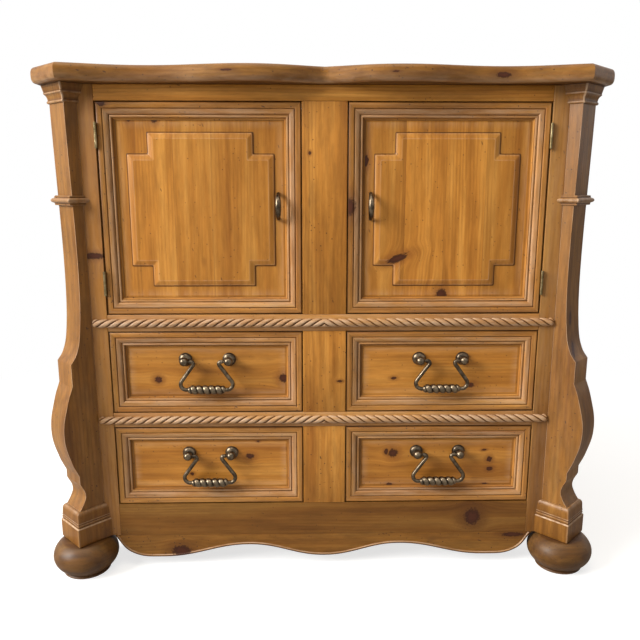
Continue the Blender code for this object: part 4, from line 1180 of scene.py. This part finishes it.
def framed(name, low, high, profile, **settings):
    """Loft round a rectangle in the front plane, with rows of (inset, depth behind the face, age)."""

    def loop_of(inset, depth):
        outline = rectangle(low.x + inset, high.x - inset, low.z + inset, high.z - inset)
        return [(u, low.y + depth, v) for u, v in outline]

    return loft_rows(name, profile, loop_of, **settings)


def make_door_frame(name):
    """Moulded frame, grooved for the panel."""
    node = name + "_door_frame"
    low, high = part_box(node)
    thickness = high.y - low.y
    groove = MOULD_WIDTH - PANEL_TONGUE - GAP
    groove_front = PANEL_FACE - GAP
    groove_back = PANEL_FACE + PANEL_THICKNESS + GAP
    profile = moulding_profile() + [
        (MOULD_WIDTH, groove_front, 0.0),
        (groove, groove_front, 0.0),
        (groove, groove_back, 0.0),
        (MOULD_WIDTH, groove_back, 0.0),
        (MOULD_WIDTH, thickness - OVERLAP, 0.0),
        (MOULD_WIDTH - OVERLAP, thickness, 0.2),
        (OVERLAP, thickness, 0.2),
        (0.0, thickness - OVERLAP, 0.0),
    ]

    def slot_of(number, corner):
        return SIDE_SLOTS[corner]

    mesh = framed(node + "_moulded", low, high, profile, ring=True, slot_of=slot_of)
    add_piece(mesh, node, FRAME_PINES)


def notched_outline(width, height, inset):
    """Rectangle with a square bite out of each corner, drawn in by an inset, with eased corners."""
    outer_x = width / 2 - inset
    outer_z = height / 2 - inset
    inner_x = outer_x - FIELD_NOTCH
    inner_z = outer_z - FIELD_NOTCH
    quarter = [(outer_x, inner_z), (inner_x, inner_z), (inner_x, outer_z)]
    outline = []
    for sign_x, sign_z in ((1, 1), (-1, 1), (-1, -1), (1, -1)):
        points = [(sign_x * x, sign_z * z) for x, z in quarter]
        outline += points if sign_x * sign_z > 0 else points[::-1]
    return rounded(outline, FIELD_ROUND)


def make_door_panel(name):
    """Panel in the frame's groove, and on it the raised field with bitten corners."""
    node = name + "_door_panel"
    low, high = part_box(name + "_door_frame")
    edge = MOULD_WIDTH - PANEL_TONGUE
    profile = [
        (edge, PANEL_FACE + PANEL_THICKNESS, 0.0),
        (edge, PANEL_FACE, -0.5),
        (MOULD_WIDTH - OVERLAP, PANEL_FACE, -0.4),
    ]
    profile += panel_border(PANEL_FACE, DOOR_PANEL_WEAR)
    add_piece(framed(node + "_board", low, high, profile), node, [PANEL_PINES[name]])

    width = high.x - low.x - 2 * (MOULD_WIDTH + FIELD_MARGIN_X)
    height = high.z - low.z - 2 * (MOULD_WIDTH + FIELD_MARGIN_Z)
    centre = (low + high) / 2

    def loop_of(inset, rise):
        outline = notched_outline(width, height, inset)
        return [(centre.x + u, low.y + PANEL_FACE - rise, centre.z + v) for u, v in outline]

    add_piece(loft_rows(node + "_field", FIELD_ROWS, loop_of), node, [PANEL_PINES[name]])


def make_door_pull(name):
    """Upright bow, thickest in the middle."""
    node = name + "_door_pull"
    low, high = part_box(node)
    centre = (low + high) / 2
    half = (high.z - low.z) / 2 - PULL_FOOT_RADIUS
    bow = PULL_REACH - PULL_FOOT_HEIGHT
    points = [Vector((centre.x, high.y, centre.z + half))]
    shares = [0.0]
    for up, out in arc((0, 0), 1, 0, 180, 44):
        points.append(Vector((centre.x, high.y - PULL_FOOT_HEIGHT - bow * out, centre.z + half * up)))
        shares.append(out)
    points.append(Vector((centre.x, high.y, centre.z - half)))
    shares.append(0.0)

    def radius_of(index, angle):
        share = shares[index]
        radius = PULL_FOOT_RADIUS + (PULL_GRIP_RADIUS - PULL_FOOT_RADIUS) * share ** 2
        return radius, PULL_FOOT_AGE + PULL_GRIP_WEAR * share

    mesh = swept(node + "_bow", points, radius_of, Vector((1, 0, 0)))
    add_piece(mesh, node, [BRONZE])


def make_drawer_front(name):
    node = name + "_drawer_front"
    low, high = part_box(node)
    panel = pine(name + "_panel_pine", "X", DRAWER_TONES[name], knots=DRAWER_KNOTS[name])
    profile = [(0.0, high.y - low.y, 0.0)] + moulding_profile()
    moulded = len(profile) - 1
    profile += panel_border(MOULD_SINK, DRAWER_PANEL_WEAR)

    def slot_of(number, corner):
        return PANEL_SLOT if number >= moulded else SIDE_SLOTS[corner]

    mesh = framed(node + "_moulded", low, high, profile, slot_of=slot_of, cap_slot=PANEL_SLOT)
    add_piece(mesh, node, FRAME_PINES + [panel])


def make_drawer_box(name):
    """Tray with its grain along each wall."""
    node = name + "_drawer_box"
    shape = welded_copy(node)
    for face in shape.faces:
        face.material_index = 1 if abs(face.normal.x) > 0.5 else 0
    mesh = finished(shape, node + "_joined", smooth=False)
    soften(add_piece(mesh, node, [INNER_X_PINE, INNER_Y_PINE]), BOX_EDGE)


def filleted(points, radii):
    """A path with each inner corner rounded, with a point every ROD_STEP."""
    path = [Vector(points[0])]
    for before, corner, after, radius in zip(points, points[1:], points[2:], radii):
        corner = Vector(corner)
        inward = (Vector(before) - corner).normalized()
        outward = (Vector(after) - corner).normalized()
        half = inward.angle(outward) / 2
        centre = corner + (inward + outward).normalized() * radius / math.sin(half)
        start = (corner + inward * radius / math.tan(half) - centre).normalized()
        end = (corner + outward * radius / math.tan(half) - centre).normalized()
        steps = max(round(radius * start.angle(end) / ROD_STEP), BEND_STEPS)
        for step in range(steps + 1):
            path.append(centre + radius * start.slerp(end, step / steps))
    path.append(Vector(points[-1]))
    return path


def make_bail(name, pivot):
    """Bail with a twisted grip, hanging from its pins in the two balls."""
    node = name + "_bail"
    pin_x = BAIL_CENTRES / 2
    shoulder_x = pin_x - BALL_RADIUS - BAIL_PIN_RADIUS
    grip_x = GRIP_LENGTH / 2
    corners = [
        (-shoulder_x, 0, 0),
        (-BAIL_EYE_GAP / 2, 0, 0),
        (-BAIL_WIDTH / 2, 0, -BAIL_DROP),
        (-grip_x, 0, -BAIL_DROP),
    ]
    half = [Vector((-pin_x, 0, 0))]
    half += [Vector((-shoulder_x - back, 0, 0)) for back in BAIL_SHOULDER]
    radii = [BAIL_PIN_RADIUS, BAIL_PIN_RADIUS, BAIL_ROD_RADIUS * BAIL_SHOULDER_SHARE]
    rod = filleted(corners, (BAIL_EYE_RADIUS, BAIL_BEND_RADIUS))
    half += rod
    radii += [BAIL_ROD_RADIUS] * len(rod)
    steps = round(GRIP_LENGTH / ROD_STEP)
    grip = [Vector((-grip_x + GRIP_LENGTH * step / steps, 0, -BAIL_DROP)) for step in range(1, steps)]
    other = [Vector((-point.x, point.y, point.z)) for point in reversed(half)]
    path = [pivot + point for point in half + grip + other]
    plain = radii + [0.0] * len(grip) + radii[::-1]
    pitch = GRIP_LENGTH / GRIP_BEADS

    def radius_of(index, angle):
        if plain[index]:
            return plain[index], BAIL_AGE
        along = path[index].x - pivot.x + grip_x
        crown = strand(along / pitch - angle / (2 * math.pi))[1]
        end = min(along, GRIP_LENGTH - along)
        swell = min(end / (pitch * GRIP_END), 1.0) ** GRIP_END_POWER
        full = BAIL_ROD_RADIUS + (GRIP_RADIUS - BAIL_ROD_RADIUS) * swell
        waist = BAIL_ROD_RADIUS + (GRIP_WAIST - BAIL_ROD_RADIUS) * swell
        return waist + (full - waist) * crown, GRIP_CREST_AGE * crown + GRIP_GROOVE_AGE * (1 - crown)

    mesh = swept(node + "_twisted", path, radius_of, Vector((0, 1, 0)))
    add_piece(mesh, node, [BRONZE])


def make_bail_post(name, end, side, pivot):
    """Rosette, neck and ball turned in one."""
    node = name + "_bail_" + end + "_post"
    stop = -math.degrees(math.acos(STALK_RADIUS / BALL_RADIUS))
    ball = arc((0, BALL_STAND), BALL_RADIUS, 90, stop, 18)[1:]
    profile = [(0, BALL_STAND + BALL_RADIUS, 0.3)]
    profile += [(*point, 0.3) for point in ball[:-1]]
    profile += [
        (*ball[-1], -0.9),
        (STALK_RADIUS, ROSETTE_HEIGHT + ROSETTE_RIM, -0.8),
        (STALK_RADIUS + STALK_FLARE, ROSETTE_HEIGHT + OVERLAP, -0.8),
    ]
    dome_radius = ROSETTE_RADIUS - ROSETTE_LIP
    upper_edge, lower_edge = [ROSETTE_RIM - drop for drop in ROSETTE_EDGE_DROPS]
    for across, up in arc((0, 0), 1, 64, 6, 12):
        height = ROSETTE_RIM + (ROSETTE_HEIGHT - ROSETTE_RIM) * up
        profile.append((DOME_INSET + dome_radius * across, height, 0.1))
    profile += [
        (dome_radius, ROSETTE_RIM, -0.8),
        (ROSETTE_RADIUS - FINE_EDGE, upper_edge, 0.2),
        (ROSETTE_RADIUS, lower_edge, 0.2),
        (ROSETTE_RADIUS, GAP, -0.3),
        (0, GAP, 0.0),
    ]
    place = pivot + Vector((side * BAIL_CENTRES / 2, BALL_STAND, 0))
    matrix = Matrix.Translation(place) @ Matrix.Rotation(math.pi / 2, 4, "X")
    mesh = turned(node + "_turned", profile, POST_TURNS, matrix)
    add_piece(mesh, node, [BRONZE])


def make_hinge(node):
    """The hinge's own leaf, with smooth knuckles and softened corners."""
    mesh = finished(welded_copy(node), node + "_soft")
    soften(add_piece(mesh, node, [BRASS]), FINE_EDGE)


def make_doors():
    for name in CORNER_SIDES:
        make_door_frame(name)
        make_door_panel(name)
        make_door_pull(name)
    for node in frame["nodes"]:
        if "_hinge_" in node:
            make_hinge(node)


def make_drawers():
    pivots = {joint["child"]: joint["pos_m"] for joint in frame["joints"] if joint["type"] == "hinge"}
    for name in DRAWER_KNOTS:
        pivot = Vector(pivots[name + "_bail"])
        make_drawer_front(name)
        make_drawer_box(name)
        make_bail(name, pivot)
        for end, side in CORNER_SIDES.items():
            make_bail_post(name, end, side, pivot)


def make_case():
    make_top()
    make_apron()
    for name, side in CORNER_SIDES.items():
        make_corner(name, side)
        eased_board(name + "_stile", STILE_PINES[name])
        eased_board(name + "_side_panel", SIDE_PINE)
        eased_board(name + "_rear_foot", FOOT_PINE, REAR_FOOT_EDGE)
    boards = {
        "top_rail": TOP_RAIL_PINE,
        "upper_rail": RAIL_PINE,
        "lower_rail": RAIL_PINE,
        "centre_stile": CENTRE_STILE_PINE,
    }
    for node, material in boards.items():
        eased_board(node, material)
    for node in ("upper_rope", "lower_rope"):
        make_rope(node)
    for node in ("bottom_board", "drawer_divider", "cupboard_floor", "shelf"):
        paint(node, INNER_X_PINE)
    paint("drawer_partition", INNER_Y_PINE)
    paint("back_panel", INNER_Z_PINE)


def add_camera():
    data = bpy.data.cameras.new("camera")
    data.lens = CAMERA_LENS
    data.sensor_width = SENSOR_WIDTH
    camera = add_object("camera", data)
    camera.location = (CAMERA_X, FACE_Y - CAMERA_DISTANCE, CAMERA_HEIGHT)
    camera.rotation_euler = (math.pi / 2 - CAMERA_PITCH, 0, -CAMERA_YAW)
    bpy.context.scene.camera = camera


def add_lamp(name, place, target, size, power, colour, in_gloss=True):
    data = bpy.data.lights.new(name, "AREA")
    data.shape = "DISK"
    data.size = size
    data.energy = power
    data.color = colour
    lamp = add_object(name, data)
    lamp.location = place
    lamp.visible_glossy = in_gloss
    lamp.rotation_euler = (Vector(target) - Vector(place)).to_track_quat("-Z", "Y").to_euler()


def add_lamps():
    key = (-4.8, FACE_Y - 2.15, 3.2)
    sky = (-0.3, FACE_Y - 0.65, 3.2)
    fill = (2.4, 3.6, 2.2)
    add_lamp("key", key, (0, FACE_Y, 0.6), size=3.1, power=590, colour=KEY_COLOUR)
    add_lamp("sky", sky, (0, FACE_Y - 0.1, 0.3), size=2.4, power=46, colour=SKY_COLOUR)
    add_lamp("fill", fill, (0, 0.1, 0.6), size=2.6, power=90, colour=FILL_COLOUR, in_gloss=False)


def add_world():
    """Even soft light, with a white background wherever it is seen or mirrored."""
    world = bpy.data.worlds.new("studio")
    bpy.context.scene.world = world
    world.use_nodes = True
    world.node_tree.nodes.clear()
    graph = Graph(world.node_tree)
    path = graph.add("ShaderNodeLightPath").outputs
    seen = graph.most(path["Is Camera Ray"], path["Is Glossy Ray"])
    seen = graph.most(seen, path["Is Transmission Ray"])
    soft = graph.add("ShaderNodeBackground", {"Color": AMBIENT_COLOUR, "Strength": AMBIENT_STRENGTH})
    white = graph.add("ShaderNodeBackground", {"Color": WHITE, "Strength": 1.0})
    mixed = graph.mix_shader(seen, soft.outputs[0], white.outputs[0])
    graph.add("ShaderNodeOutputWorld", {"Surface": mixed})


def floor_material():
    """White to the camera, with the object's shadow near it, and plain grey as a light bounce."""
    material = bpy.data.materials.new("floor")
    material.use_nodes = True
    material.node_tree.nodes.clear()
    graph = Graph(material.node_tree)
    plain = graph.add("ShaderNodeBsdfDiffuse", {"Color": FLOOR_COLOUR}).outputs[0]
    near = graph.add("ShaderNodeAddShader", {0: plain, 1: graph.emission(FLOOR_LIFT)}).outputs[0]
    spot = graph.add("ShaderNodeTexCoord").outputs["Object"]
    reach = graph.add("ShaderNodeVectorMath", {0: spot}, operation="LENGTH").outputs["Value"]
    lifted = graph.mix_shader(graph.ease(reach, *FLOOR_EASE), near, graph.emission(1.0))
    seen = graph.add("ShaderNodeLightPath").outputs["Is Camera Ray"]
    graph.add("ShaderNodeOutputMaterial", {"Surface": graph.mix_shader(seen, plain, lifted)})
    return material


def add_floor():
    shape = bmesh.new()
    bmesh.ops.create_grid(shape, x_segments=1, y_segments=1, size=FLOOR_SIZE)
    mesh = finished(shape, "floor", smooth=False)
    mesh.materials.append(floor_material())
    floor = add_object("floor", mesh)
    floor.location = (0, 0, -GAP)


make_case()
make_doors()
make_drawers()
add_camera()
add_lamps()
add_world()
add_floor()
bpy.context.scene.view_settings.view_transform = "Standard"
